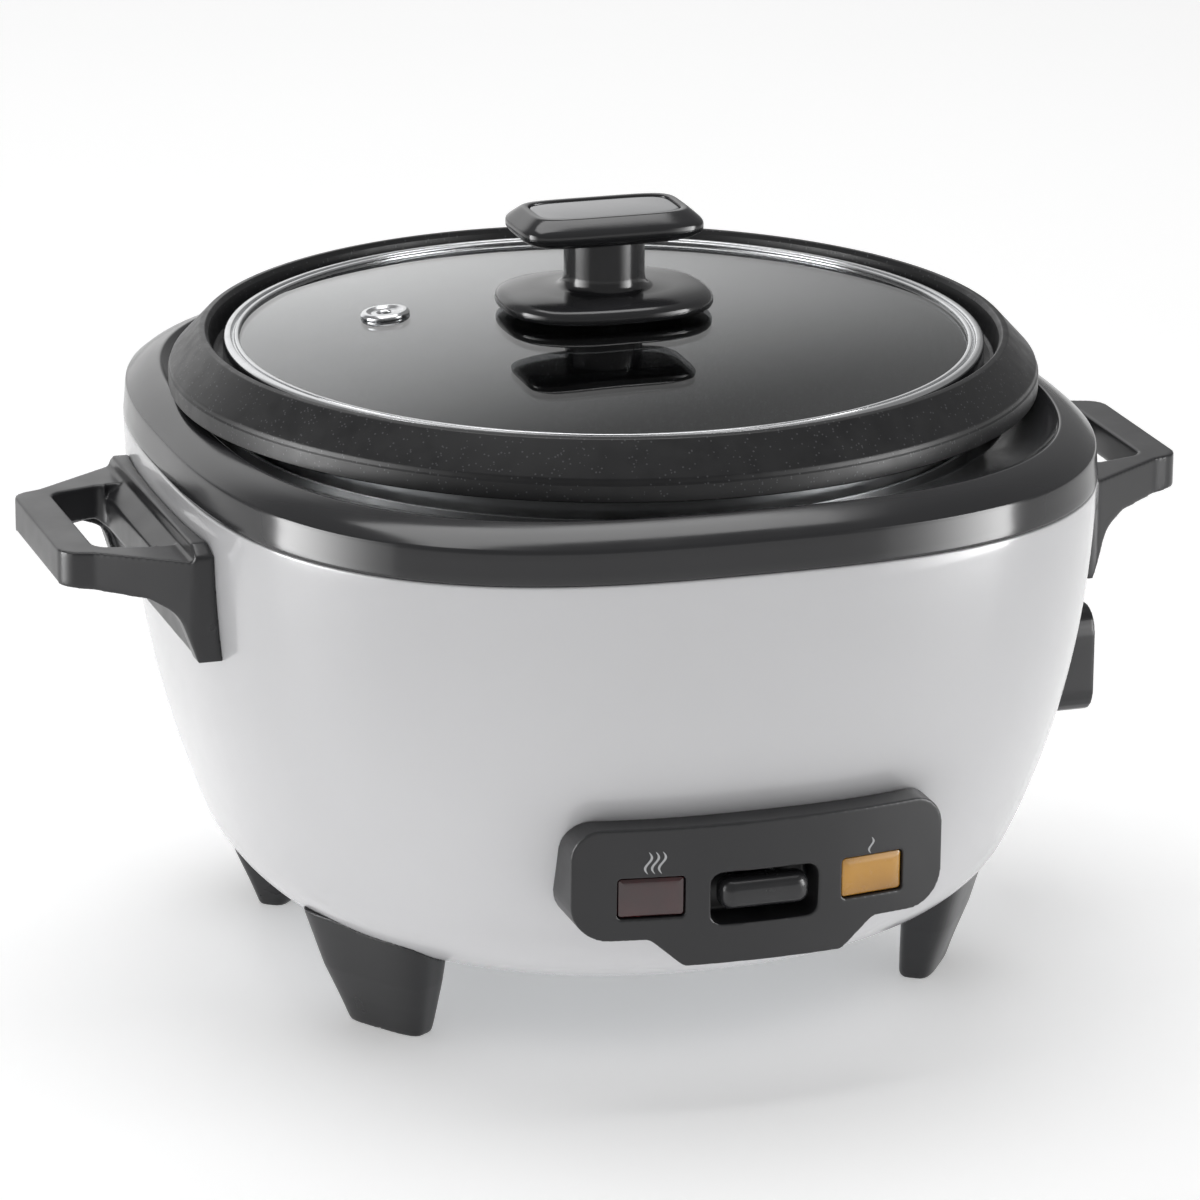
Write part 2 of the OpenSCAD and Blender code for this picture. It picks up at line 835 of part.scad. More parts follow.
module inlet_housing() {
    wall = 2.5;
    color(charcoal)
        difference() {
            translate([0, 0, inlet_z])
                rotate([90, 0, 90])
                    translate([0, 0, half_w - 25])
                        linear_extrude(inlet_x - half_w + 25)
                            round_rect(inlet_w, inlet_h, 8);
            body_form();
            translate([inlet_x - inlet_depth, 0, inlet_z])
                rotate([90, 0, 90])
                    linear_extrude(far)
                        polygon([[-12, -8.3], [12, -8.3], [12, 3], [7, 8.3], [-7, 8.3], [-12, 3]]);
            translate([half_w - 30, 0, inlet_z])
                rotate([90, 0, 90])
                    linear_extrude(30 - inlet_depth + inlet_x - half_w - wall)
                        round_rect(24, 20, 3);
            for (side = [-1, 0, 1])
                pin_bar(side, 0.05);
            for (side = [-1, 1])
                translate([0, side * 15, inlet_z])
                    rod_x(1.5 + run_clear, half_w - 40, inlet_x - 6);
        }
}

// Flat contact blade of the inlet, grown all round by a clearance
module pin_bar(side, grow) {
    y = side * pin_gap;
    z = inlet_z + (side == 0 ? 3 : -2);
    bar([tab_x, y - 1 - grow, z - 2 - grow], [inlet_x - 4.5, y + 1 + grow, z + 2 + grow]);
}

module inlet_pins() {
    color("gold")
        for (side = [-1, 0, 1])
            pin_bar(side, 0);
}

module inlet_screws() {
    color(steel)
        for (side = [-1, 1])
            translate([half_w - 12.5, side * 15, inlet_z])
                rotate([0, 90, 0])
                    screw(1.5, 13, 2.8, 1.5);
}

// ---- heater ----

module pillar_places() {
    for (a = pillar_angles)
        rotate([0, 0, a])
            translate([pillar_reach, 0, 0])
                children();
}

module inner_liner() {
    flange_r = recess_r - 0.2;
    color(steel)
        difference() {
            rotate_extrude($fn = 144)
                polygon([[liner_hole_r, liner_low], [liner_out, liner_low], [liner_out, recess_z - liner_t],
                    [flange_r, recess_z - liner_t], [flange_r, recess_z], [liner_r, recess_z],
                    [liner_r, liner_low + liner_t], [liner_hole_r, liner_low + liner_t]]);
            pillar_places()
                cylinder(r = pillar_r + 1, h = far);
        }
}

module heating_plate() {
    color("silver")
        difference() {
            rotate_extrude($fn = 144)
                polygon([[cap_r + 0.6, plate_low], [plate_r - 3, plate_low], [plate_r, plate_low + 3],
                    [plate_r, plate_z - 2], [plate_r - 2, plate_z], [cap_r + 0.6, plate_z]]);
            rotate_extrude()
                translate([element_r, plate_low + 1])
                    circle(r = element_d / 2 + 0.05);
            pillar_places()
                translate([0, 0, plate_low - 1])
                    cylinder(r = 1.6, h = 8);
        }
}

// Tubular element cast into the underside of the plate, with a terminal at each end
module heating_element() {
    color("dimgray") {
        translate([0, 0, plate_low + 1])
            rotate([0, 0, element_gap])
                rotate_extrude(angle = 360 - 2 * element_gap)
                    translate([element_r, 0])
                        circle(r = element_d / 2);
        for (side = [-1, 1])
            rotate([0, 0, side * element_gap])
                translate([element_r, 0, plate_low - 10])
                    cylinder(r = 2, h = 11);
    }
}

module plate_pillars() {
    color(steel)
        pillar_places()
            difference() {
                translate([0, 0, shell_z0])
                    cylinder(r = pillar_r, h = plate_low - shell_z0);
                translate([0, 0, shell_z0 - 1])
                    cylinder(r = 1.6, h = plate_low - shell_z0 + 2);
            }
}

module pillar_screws() {
    color(steel)
        pillar_places()
            translate([0, 0, shell_z0 - 1.5])
                screw(1.55, plate_low - shell_z0 + 7, 3.2, 1.6);
}

// ---- thermostat ----

module sensor_cap() {
    color("silver")
        rotate_extrude()
            polygon([[0, plate_z], [cap_r - 1, plate_z], [cap_r, plate_z - 1], [cap_r, cap_low + cap_t],
                [cap_r + 2.5, cap_low + cap_t], [cap_r + 2.5, cap_low], [cap_r - cap_t, cap_low],
                [cap_r - cap_t, plate_z - cap_t], [0, plate_z - cap_t]]);
}

module sensor_ferrite() {
    color("dimgray")
        translate([0, 0, ferrite_low])
            cylinder(r = cap_r - cap_t - 0.2, h = plate_z - cap_t - ferrite_low);
}

module sensor_spring() {
    color(steel)
        spring(cap_r + 1.4, 0.5, bracket_z + bracket_t, cap_low, 5);
}

module sensor_bracket() {
    color(steel)
        difference() {
            union() {
                translate([0, 0, bracket_z])
                    cylinder(r = bracket_r, h = bracket_t);
                for (side = [-1, 1])
                    bar([side * bracket_r - bracket_t, -5, bracket_z],
                        [side * bracket_r + bracket_t, 5, plate_low]);
            }
            translate([0, 0, bracket_z - 1])
                cylinder(r = rod_r + run_clear, h = bracket_t + 2);
        }
}

module magnet_ring() {
    color("dimgray")
        translate([0, 0, magnet_low + 1.2])
            difference() {
                cylinder(r = cap_r - 4, h = magnet_top - magnet_low - 1.2);
                translate([0, 0, -1])
                    cylinder(r = 5.5, h = 20);
            }
}

module magnet_rod() {
    color(steel) {
        translate([0, 0, magnet_low])
            cylinder(r = cap_r - 3.5, h = 1.2);
        translate([0, 0, arm_z + arm_t / 2 + 0.3])
            cylinder(r = rod_r, h = magnet_low - arm_z);
    }
}

module magnet_spring() {
    color(steel)
        spring(4.8, 0.4, magnet_low + 1.2, ferrite_low, 7);
}

module microswitch() {
    color("black")
        difference() {
            bar([-3.2, switch_y - 6, switch_low], [3.2, switch_y + 14, switch_low + switch_h]);
            translate([0, switch_y, switch_low - 1])
                cylinder(r = 1.2 + run_clear, h = 5);
        }
}

module switch_plunger() {
    color("red")
        translate([0, switch_y, arm_z + arm_t / 2 + 0.2])
            cylinder(r = 1.2, h = 4.4);
}

// Hanger that carries the microswitch from the underside of the liner
module switch_bracket() {
    top = liner_low;
    color(steel) {
        bar([-4.4, -liner_hole_r - 14, switch_low + 2], [-3.2, -liner_hole_r + 2, top]);
        bar([-16, -liner_hole_r - 14, top - 1.2], [-3.2, -liner_hole_r - 2, top]);
    }
}

module keep_warm_thermostat() {
    color("black")
        translate([heater_mid_r * cos(45), heater_mid_r * sin(45), plate_low - 6]) {
            cylinder(r = 6.5, h = 6);
            for (x = [-3.5, 3.5])
                translate([x - 2, -0.4, -6])
                    cube([4, 0.8, 6]);
        }
}

module thermal_fuse() {
    color("white")
        translate([-heater_mid_r, 0, plate_low - 2])
            rod_y(2, -7, 7);
}

// ---- wiring ----

// Start of a wire: from a contact of the inlet down along the wall, on the side given by its sign
function wall_path(side) = [[tab_x - 1, side * pin_gap, inlet_z - 2],
    for (stop = [[14, inlet_z - 8], [24, inlet_z - 22], [33, shell_z0 + 16]])
        [wall_x(stop[0], stop[1], shell_t) - wire_room, side * stop[0], stop[1]]];

// Brown wire from the inlet to the microswitch
module live_wire() {
    color("saddlebrown")
        wire(concat(wall_path(-1), [[foot_x - 1, -50, shell_z0 + 9], [44, -64, shell_z0 + 10],
            [14, switch_y - 1, switch_low + 6], [3.5, switch_y - 1, switch_low + 6]]), wire_r);
}

// Blue wire from the inlet to the far terminal of the element
module neutral_wire() {
    color("royalblue")
        wire(concat(wall_path(1), [[foot_x - 5, 34, shell_z0 + 10], [terminal_x + 9, 26, shell_z0 + 11],
            [terminal_x + 1, terminal_y + 1, terminal_z - 1.6]]), wire_r);
}

// Heat-proof wire from the microswitch to the near terminal of the element
module heater_wire() {
    color("ivory")
        wire([[3.5, switch_y + 10, switch_low + 6], [14, switch_y + 11, switch_low + 5],
            [34, -38, shell_z0 + 12], [terminal_x - 2, -26, shell_z0 + 12],
            [terminal_x + 1, -terminal_y - 1, terminal_z - 1.6]], wire_r);
}

// ---- bowl ----

module bowl() {
    bottom = plate_z;
    out_r = bowl_r + bowl_t;
    corner_out = bowl_corner + bowl_t;
    color("#2c2c2e")
        rotate_extrude($fn = 144)
            polygon(concat(
                [[0, bottom]],
                [for (a = [0 : 15 : 90]) [out_r - corner_out + corner_out * sin(a),
                    bottom + corner_out * (1 - cos(a))]],
                [[out_r, ledge_z - bowl_t - 1], [out_r + 1, ledge_z - bowl_t],
                    [ledge_r + 0.6, ledge_z - bowl_t],
                    [lip_r, lip_z - bowl_t - 1], [rim_r - 2.2, rim_low + rim_lip - 0.4],
                    [rim_r - 1.4, rim_low + rim_lip - 2], [rim_r - 1.4, rim_low], [rim_r, rim_low],
                    [rim_r, rim_low + rim_lip], [rim_r - 1, rim_low + rim_lip + 1.6],
                    [lip_r + 0.5, lip_z - 0.4], [lip_r - 0.3, lip_z], [lip_r - 1.2, lip_z - 0.6],
                    [ledge_r, ledge_z + 1], [ledge_r - 1, ledge_z],
                    [bowl_r + 0.8, ledge_z], [bowl_r, ledge_z - 0.8]],
                [for (a = [90 : -15 : 0]) [bowl_r - bowl_corner + bowl_corner * sin(a),
                    bottom + bowl_t + bowl_corner * (1 - cos(a))]],
                [[0, bottom + bowl_t]]));
}

// ---- lid ----

// Height of the glass's upper face above its edge, at radius r
function dome(r) = dome_h - dome_r + sqrt(pow(dome_r, 2) - pow(r, 2));

module vent_place() {
    rotate([0, 0, vent_angle])
        translate([vent_reach, 0, glass_low + glass_t + dome(vent_reach)])
            rotate([0, asin(vent_reach / dome_r), 0])
                children();
}

module lid_glass() {
    radii = [for (i = [0 : 10]) glass_edge_r * i / 10];
    color("lightgray", 0.5)
        difference() {
            rotate_extrude($fn = 144)
                polygon(concat([for (r = radii) [r, glass_low + dome(r)]],
                    [for (i = [10 : -1 : 0]) [radii[i], glass_low + glass_t + dome(radii[i])]]));
            translate([0, 0, glass_low])
                cylinder(r = screw_r + 1, h = 40);
            vent_place()
                translate([0, 0, -10])
                    cylinder(r = vent_body_r + 0.1, h = 20);
        }
}

// Rolled steel ring that grips the edge of the glass
module lid_ring() {
    in_r = lid_r - ring_w;
    low = ledge_z;
    high = ledge_z + ring_h;
    slot_low = glass_low + dome(glass_edge_r - 0.1) - 0.02;
    color("silver")
        rotate_extrude($fn = 144)
            polygon([[in_r, low], [lid_r - 1, low], [lid_r, low + 1], [lid_r, high - 1], [lid_r - 1, high],
                [in_r + 1, high + 0.6], [in_r, glass_low + glass_t + dome(in_r) + 0.02],
                [glass_edge_r + 0.05, glass_low + glass_t + dome(glass_edge_r) + 0.02],
                [glass_edge_r + 0.05, slot_low], [in_r, slot_low]]);
}

module steam_vent() {
    color("silver")
        vent_place()
            difference() {
                union() {
                    translate([0, 0, 0.05])
                        cylinder(r1 = vent_flange_r, r2 = vent_flange_r - 1, h = 1.6);
                    translate([0, 0, -glass_t - 1])
                        cylinder(r = vent_body_r, h = glass_t + 1.1);
                    translate([0, 0, -glass_t - 1.4])
                        cylinder(r = vent_body_r + 1.5, h = 1.2);
                }
                translate([0, 0, -10])
                    cylinder(r = vent_bore / 2, h = 20);
                translate([0, 0, 1.1])
                    cylinder(r1 = vent_bore / 2, r2 = vent_flange_r - 2.2, h = 0.8);
            }
}

module knob_base() {
    color(charcoal)
        difference() {
            union() {
                loft([plan(skirt_l / 2 - 1.5, skirt_d / 2 - 1.5, 2.6, skirt_z),
                    plan(skirt_l / 2, skirt_d / 2, 2.6, skirt_z + 1.2),
                    plan(skirt_l / 2 - 0.6, skirt_d / 2 - 0.6, 2.6, skirt_z + 3.6),
                    plan(skirt_l / 2 - 3, skirt_d / 2 - 3, 2.6, skirt_z + 5.2),
                    plan(skirt_l / 2 - 7, skirt_d / 2 - 7, 2.5, skirt_z + skirt_t)]);
                translate([0, 0, skirt_z + 1])
                    cylinder(r = stem_d / 2, h = skirt_t + stem_h - 1);
            }
            translate([0, 0, skirt_z - 1])
                cylinder(r = screw_r + run_clear, h = skirt_t + stem_h);
        }
}

module knob_grip() {
    l = grip_l / 2;
    d = grip_d / 2;
    color(charcoal)
        difference() {
            loft([plan(l - 3.5, d - 3.5, 4, grip_z), plan(l - 1, d - 1, 4.5, grip_z + 1.4),
                plan(l, d, 5, grip_z + 3.4), plan(l, d, 5, grip_z + 5),
                plan(l - 1.6, d - 1.6, 5, grip_z + 6.8),
                plan(l - 4.5, d - 4.5, 5, grip_z + grip_t)]);
            translate([0, 0, grip_z + grip_t - 1.2])
                linear_extrude(3)
                    polygon([for (p = plan(l - 6.3, d - 6.3, 5, 0)) [p[0], p[1]]]);
        }
}

module knob_inset() {
    color("dimgray")
        translate([0, 0, grip_z + grip_t - 1.2])
            linear_extrude(0.8)
                polygon([for (p = plan(grip_l / 2 - 6.5, grip_d / 2 - 6.5, 5, 0)) [p[0], p[1]]]);
}

module knob_screw() {
    color(steel)
        translate([0, 0, glass_top - glass_t - 1.2])
            screw(screw_r, glass_t + skirt_t + 12, 5, 2.4);
}

module knob_washer() {
    color("dimgray") {
        difference() {
            translate([0, 0, glass_top - glass_t - 1.2])
                cylinder(r = 8, h = 1);
            translate([0, 0, glass_low])
                cylinder(r = screw_r + 0.1, h = 40);
        }
        difference() {
            translate([0, 0, glass_top])
                cylinder(r = 10, h = pad_t);
            translate([0, 0, glass_low])
                cylinder(r = screw_r + 0.1, h = 40);
        }
    }
}

outer_shell();
top_collar();
base_plate();
handle_left();
handle_right();
handle_screws();
foot_front_left();
foot_front_right();
foot_rear_left();
foot_rear_right();
foot_screws();
control_panel();
panel_screws();
cook_lens();
warm_lens();
cook_lamp();
warm_lamp();
cook_lever();
lever_arm();
lever_bracket();
lever_pin();
inlet_housing();
inlet_pins();
inlet_screws();
inner_liner();
heating_plate();
heating_element();
plate_pillars();
pillar_screws();
sensor_cap();
sensor_ferrite();
sensor_spring();
sensor_bracket();
magnet_ring();
magnet_rod();
magnet_spring();
microswitch();
switch_plunger();
switch_bracket();
keep_warm_thermostat();
thermal_fuse();
live_wire();
neutral_wire();
heater_wire();
bowl();
lid_glass();
lid_ring();
steam_vent();
knob_base();
knob_grip();
knob_inset();
knob_screw();
knob_washer();
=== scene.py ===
# %% [markdown]
# # Electric rice cooker
# A white enamelled body stands on four feet. A charcoal collar closes its top, a lift-out bowl hangs
# in the middle, and a domed glass lid with a plastic knob covers the bowl. Two handles, a control
# panel with two lamps and a lever, and a power inlet are screwed to the body.
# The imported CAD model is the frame: every piece below takes its place from it, in metres.

# %% Load the frame
import math
import bpy
import bmesh
from mathutils import Matrix, Vector


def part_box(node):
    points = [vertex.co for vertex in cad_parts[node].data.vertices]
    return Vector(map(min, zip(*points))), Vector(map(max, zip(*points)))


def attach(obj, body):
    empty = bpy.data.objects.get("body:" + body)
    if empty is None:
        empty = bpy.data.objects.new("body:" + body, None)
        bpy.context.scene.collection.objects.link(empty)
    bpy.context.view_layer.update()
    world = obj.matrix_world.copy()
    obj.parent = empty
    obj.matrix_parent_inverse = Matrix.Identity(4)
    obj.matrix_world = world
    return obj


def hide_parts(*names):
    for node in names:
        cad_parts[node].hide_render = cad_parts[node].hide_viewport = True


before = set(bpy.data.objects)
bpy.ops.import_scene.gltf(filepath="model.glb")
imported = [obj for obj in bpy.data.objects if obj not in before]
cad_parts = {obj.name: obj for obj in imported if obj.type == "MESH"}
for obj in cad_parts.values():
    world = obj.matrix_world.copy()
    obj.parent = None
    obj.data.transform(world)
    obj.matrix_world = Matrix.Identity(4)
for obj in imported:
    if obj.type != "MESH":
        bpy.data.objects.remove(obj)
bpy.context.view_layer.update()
bpy.context.scene.view_settings.view_transform = "Standard"

# %% [markdown]
# ## Sizes
# The shapes are written in millimetres, because that is how such parts are drawn. The corners of each
# CAD node's box give the heights and half widths that the pieces share, so a piece meets its neighbour
# without fitting by eye.

# %% Read the main sizes from the frame
MM = 0.001


def box_mm(node):
    low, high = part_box(node)
    return low / MM, high / MM


shell_low, shell_high = box_mm("outer_shell")
HALF_W = shell_high.x
HALF_D = shell_high.y
SHELL_Z0 = shell_low.z
SHELL_Z1 = shell_high.z
CREASE_Z = box_mm("top_collar")[1].z
RECESS_Z = CREASE_Z - 8
RIM_R = box_mm("bowl")[1].x
BOWL_Z = box_mm("bowl")[0].z
LIP_Z = box_mm("bowl")[1].z
LEDGE_Z = box_mm("lid_ring")[0].z
LID_R = box_mm("lid_ring")[1].x
GLASS_TOP = box_mm("lid_glass")[1].z
print("shell", round(HALF_W * 2, 1), "x", round(HALF_D * 2, 1), "mm, rim radius", round(RIM_R, 1))

# %% [markdown]
# ## Camera
# A long lens from far away keeps the sides of a product almost parallel. The camera stands a little to
# the left and above, and looks at a point near the middle of the body.

# %% Make the camera
AZIMUTH = math.radians(-18.31)
ELEVATION = math.radians(17.82)
ROLL = math.radians(0.42)
DISTANCE = 1.943
TARGET = Vector((-0.0005, 0, 0.107))

back = Vector((math.sin(AZIMUTH) * math.cos(ELEVATION), -math.cos(AZIMUTH) * math.cos(ELEVATION),
               math.sin(ELEVATION)))
right = Vector((math.cos(AZIMUTH), math.sin(AZIMUTH), 0))
up = back.cross(right)
right_rolled = right * math.cos(ROLL) + up * math.sin(ROLL)
up_rolled = up * math.cos(ROLL) - right * math.sin(ROLL)
camera_data = bpy.data.cameras.new("camera")
camera_data.lens = 190.2
camera_data.sensor_width = 36
camera_data.clip_end = 100
camera = bpy.data.objects.new("camera", camera_data)
camera.matrix_world = Matrix.Translation(TARGET + back * DISTANCE) @ Matrix(
    (right_rolled, up_rolled, back)).transposed().to_4x4()
bpy.context.scene.collection.objects.link(camera)
bpy.context.scene.camera = camera
print("camera", round(DISTANCE / MM), "mm away, lens", round(camera_data.lens), "mm")

# %% [markdown]
# ## Node materials
# A material is a small graph of nodes. One function adds a node, sets its values and links its inputs,
# so that each material below reads as a short list. Colours are written as the hex values a colour
# picker shows, and one function turns them to the linear numbers that the renderer needs.

# %% Helpers for materials


def linear(hex_colour):
    """Linear RGBA of an sRGB hex colour."""
    parts = [int(hex_colour[i:i + 2], 16) / 255 for i in (1, 3, 5)]
    return [p / 12.92 if p <= 0.04045 else ((p + 0.055) / 1.055) ** 2.4 for p in parts] + [1.0]


def add_node(tree, kind, settings=None, links=None):
    """Adds a node; a setting is an input of that name or number, or else a property of the node."""
    node = tree.nodes.new(kind)
    for key, value in (settings or {}).items():
        if isinstance(key, int) or key in node.inputs:
            node.inputs[key].default_value = value
        else:
            setattr(node, key, value)
    for key, socket in (links or {}).items():
        tree.links.new(socket, node.inputs[key])
    return node


def new_material(name, **surface):
    """A material with one Principled shader; keyword names are socket names with _ for a space."""
    material = bpy.data.materials.new(name)
    material.use_nodes = True
    tree = material.node_tree
    shader = tree.nodes["Principled BSDF"]
    for key, value in surface.items():
        shader.inputs[key.replace("_", " ")].default_value = value
    place = add_node(tree, "ShaderNodeTexCoord").outputs["Object"]
    return material, tree, shader, place


def size(mm):
    """Texture scale that makes one cell about this many millimetres wide."""
    return 1000 / mm


def grain(tree, shader, place, mm, height_mm, strength=1.0, detail=2.0):
    """Fine relief: a noise of a real width and height that tilts the surface."""
    noise = add_node(tree, "ShaderNodeTexNoise", {"Scale": size(mm), "Detail": detail}, {"Vector": place})
    bump = add_node(tree, "ShaderNodeBump", {"Strength": strength, "Distance": height_mm * MM},
                    {"Height": noise.outputs[0]})
    tree.links.new(bump.outputs[0], shader.inputs["Normal"])
    return noise


def vary(tree, shader, place, dark, light, mm, socket="Base Color"):
    """Slow drift between two colours, over patches of a real width."""
    noise = add_node(tree, "ShaderNodeTexNoise", {"Scale": size(mm), "Detail": 3.0}, {"Vector": place})
    mix = add_node(tree, "ShaderNodeMix", {"data_type": "RGBA", 6: linear(dark), 7: linear(light)},
                   {0: noise.outputs[0]})
    tree.links.new(mix.outputs[2], shader.inputs[socket])
    return mix


def vary_gloss(tree, shader, place, low, high, mm):
    """Roughness that wanders between two values, as wiping and handling leave it."""
    noise = add_node(tree, "ShaderNodeTexNoise", {"Scale": size(mm), "Detail": 4.0}, {"Vector": place})
    span = add_node(tree, "ShaderNodeMapRange", {"From Min": 0.3, "From Max": 0.7, "To Min": low,
                                                 "To Max": high}, {"Value": noise.outputs[0]})
    tree.links.new(span.outputs[0], shader.inputs["Roughness"])


MATERIALS = {}

# %% [markdown]
# ## White enamel
# The body is a steel pressing with a sprayed and baked white enamel. Such a coat is glossy and a little
# wavy, like the skin of an orange, so reflections have soft edges. Waves about 3 mm wide and a few
# thousandths high are enough for the eye.

# %% Make the enamel
material, tree, shader, place = new_material("sprayed_white_enamel", IOR=1.5, Coat_Weight=0.6,
                                             Coat_Roughness=0.06)
vary(tree, shader, place, "#e6e6e8", "#ececee", 60)
vary_gloss(tree, shader, place, 0.2, 0.27, 25)
grain(tree, shader, place, 3.0, 0.012, 0.6)
MATERIALS["white_enamel"] = material

# %% [markdown]
# ## Charcoal plastic
# Collar, handles, feet and knob are moulded from charcoal polypropylene or ABS in a polished tool.
# Polished mouldings are smooth but never perfect mirrors. The handles, feet and panel are more satin
# than the collar: the tool was spark eroded, which leaves grains of a few tenths of a millimetre.

# %% Make the charcoal mouldings
material, tree, shader, place = new_material("polished_charcoal_abs", IOR=1.5, Specular_IOR_Level=0.55)
vary(tree, shader, place, "#2c2c2e", "#313133", 40)
vary_gloss(tree, shader, place, 0.13, 0.19, 18)
grain(tree, shader, place, 2.5, 0.006, 0.5)
MATERIALS["charcoal_plastic"] = material

material, tree, shader, place = new_material("satin_charcoal_abs", IOR=1.5)
vary(tree, shader, place, "#28282a", "#2e2e30", 30)
vary_gloss(tree, shader, place, 0.27, 0.35, 14)
grain(tree, shader, place, 0.5, 0.01, 0.35)
satin_charcoal = material

material, tree, shader, place = new_material("satin_panel_abs", IOR=1.5)
vary(tree, shader, place, "#29292b", "#2f2f31", 30)
vary_gloss(tree, shader, place, 0.3, 0.38, 14)
grain(tree, shader, place, 0.4, 0.008, 0.35)
MATERIALS["panel_plastic"] = material

material, tree, shader, place = new_material("lever_abs", IOR=1.5)
vary(tree, shader, place, "#2b2b2d", "#323234", 12)
vary_gloss(tree, shader, place, 0.2, 0.28, 8)
grain(tree, shader, place, 0.5, 0.006, 0.3)
MATERIALS["lever_plastic"] = material

# %% [markdown]
# ## Non-stick coating
# The bowl is pressed aluminium with a baked fluoropolymer coat. The coat is nearly black, half matt,
# and carries pale mineral specks a few tenths of a millimetre wide. They are drawn slightly larger,
# because smaller ones wouldn't show. Cell noise gives each speck its own brightness.

# %% Make the coating and the spun aluminium
material, tree, shader, place = new_material("speckled_non_stick", IOR=1.45)
cells = add_node(tree, "ShaderNodeTexVoronoi", {"Scale": size(0.9)}, {"Vector": place})
chance = add_node(tree, "ShaderNodeSeparateColor", links={0: cells.outputs["Color"]})
speck = add_node(tree, "ShaderNodeMath", {"operation": "GREATER_THAN", 1: 0.82}, {0: chance.outputs[0]})
near = add_node(tree, "ShaderNodeMath", {"operation": "LESS_THAN", 1: 0.32}, {0: cells.outputs["Distance"]})
both = add_node(tree, "ShaderNodeMath", {"operation": "MULTIPLY"}, {0: speck.outputs[0], 1: near.outputs[0]})
mix = add_node(tree, "ShaderNodeMix", {"data_type": "RGBA", 6: linear("#19191b"), 7: linear("#48484b")},
               {0: both.outputs[0]})
tree.links.new(mix.outputs[2], shader.inputs["Base Color"])
vary_gloss(tree, shader, place, 0.34, 0.44, 6)
grain(tree, shader, place, 0.7, 0.02, 0.5)
MATERIALS["non_stick_coating"] = material

material, tree, shader, place = new_material("spun_aluminium", Metallic=1.0)
rings = add_node(tree, "ShaderNodeTexWave", {"Scale": size(1.6) / 20, "bands_direction": "Z",
                                             "Distortion": 0.6, "Detail": 3.0}, {"Vector": place})
mix = add_node(tree, "ShaderNodeMix", {"data_type": "RGBA", 6: linear("#b6b8ba"), 7: linear("#d2d3d4")},
               {0: rings.outputs[0]})
tree.links.new(mix.outputs[2], shader.inputs["Base Color"])
vary_gloss(tree, shader, place, 0.3, 0.42, 10)
bump = add_node(tree, "ShaderNodeBump", {"Strength": 0.25, "Distance": 0.02 * MM},
                {"Height": rings.outputs[0]})
tree.links.new(bump.outputs[0], shader.inputs["Normal"])
MATERIALS["liner_aluminium"] = material

# %% [markdown]
# ## Glass, steel and lamp lenses
# The lid is toughened glass, faintly smoky, in a polished steel ring. Light that grazes glass is mostly
# mirrored, so it shows the studio and the knob more than the bowl below. The lamp lenses are moulded
# acrylic, one deep red and one amber, with a folded foil behind that makes golden bands.

# %% Make the glass, the polished steel and the lenses
material, tree, shader, place = new_material("smoky_toughened_glass", IOR=1.52, Transmission_Weight=1.0,
                                             Roughness=0.015, Base_Color=linear("#c9ccce"))
grain(tree, shader, place, 18, 0.01, 0.3, 1.0)
MATERIALS["lid_glass"] = material

material, tree, shader, place = new_material("polished_stainless_steel", Metallic=1.0)
vary(tree, shader, place, "#c3c4c6", "#d6d7d8", 8)
vary_gloss(tree, shader, place, 0.14, 0.24, 3)
grain(tree, shader, place, 0.6, 0.004, 0.4)
MATERIALS["ring_steel"] = material

material, tree, shader, place = new_material("deep_red_acrylic", IOR=1.49, Coat_Weight=1.0,
                                             Coat_Roughness=0.05)
vary(tree, shader, place, "#1d0306", "#46070d", 5)
vary_gloss(tree, shader, place, 0.12, 0.25, 3)
grain(tree, shader, place, 1.2, 0.03, 0.5)
MATERIALS["red_lens"] = material

material, tree, shader, place = new_material("amber_acrylic", IOR=1.49, Coat_Weight=1.0,
                                             Coat_Roughness=0.04)
folds = add_node(tree, "ShaderNodeTexWave", {"Scale": size(4.2) / 20, "bands_direction": "Z",
                                             "Distortion": 3.5, "Detail": 2.0, "Detail Scale": 2.0},
                 {"Vector": place})
mix = add_node(tree, "ShaderNodeMix", {"data_type": "RGBA", 6: linear("#7a4304"), 7: linear("#e0a020")},
               {0: folds.outputs[0]})
tree.links.new(mix.outputs[2], shader.inputs["Base Color"])
vary_gloss(tree, shader, place, 0.12, 0.3, 3)
grain(tree, shader, place, 1.5, 0.06, 0.5)
MATERIALS["amber_lens"] = material

# Painted top light: the knob inset's mid grey, lighter than the charcoal round it, stands for the light
# overhead falling on this upward face of dark plastic.
material, tree, shader, place = new_material("glossy_inset_abs_painted_top_light", IOR=1.5, Coat_Weight=0.5,
                                             Coat_Roughness=0.05)
vary(tree, shader, place, "#5c5d60", "#66676a", 20)
vary_gloss(tree, shader, place, 0.1, 0.16, 9)
grain(tree, shader, place, 2.0, 0.005, 0.4)
MATERIALS["knob_inset_plastic"] = material

# %% [markdown]
# ## Finishes inside the body
# The working parts are seen only through the bowl's opening or from below, yet each has its own real
# finish. They differ in colour, metal, gloss and in the width of their grain, so one table holds them:
# two colours to drift between, metallic, roughness range, grain width and grain height in millimetres.

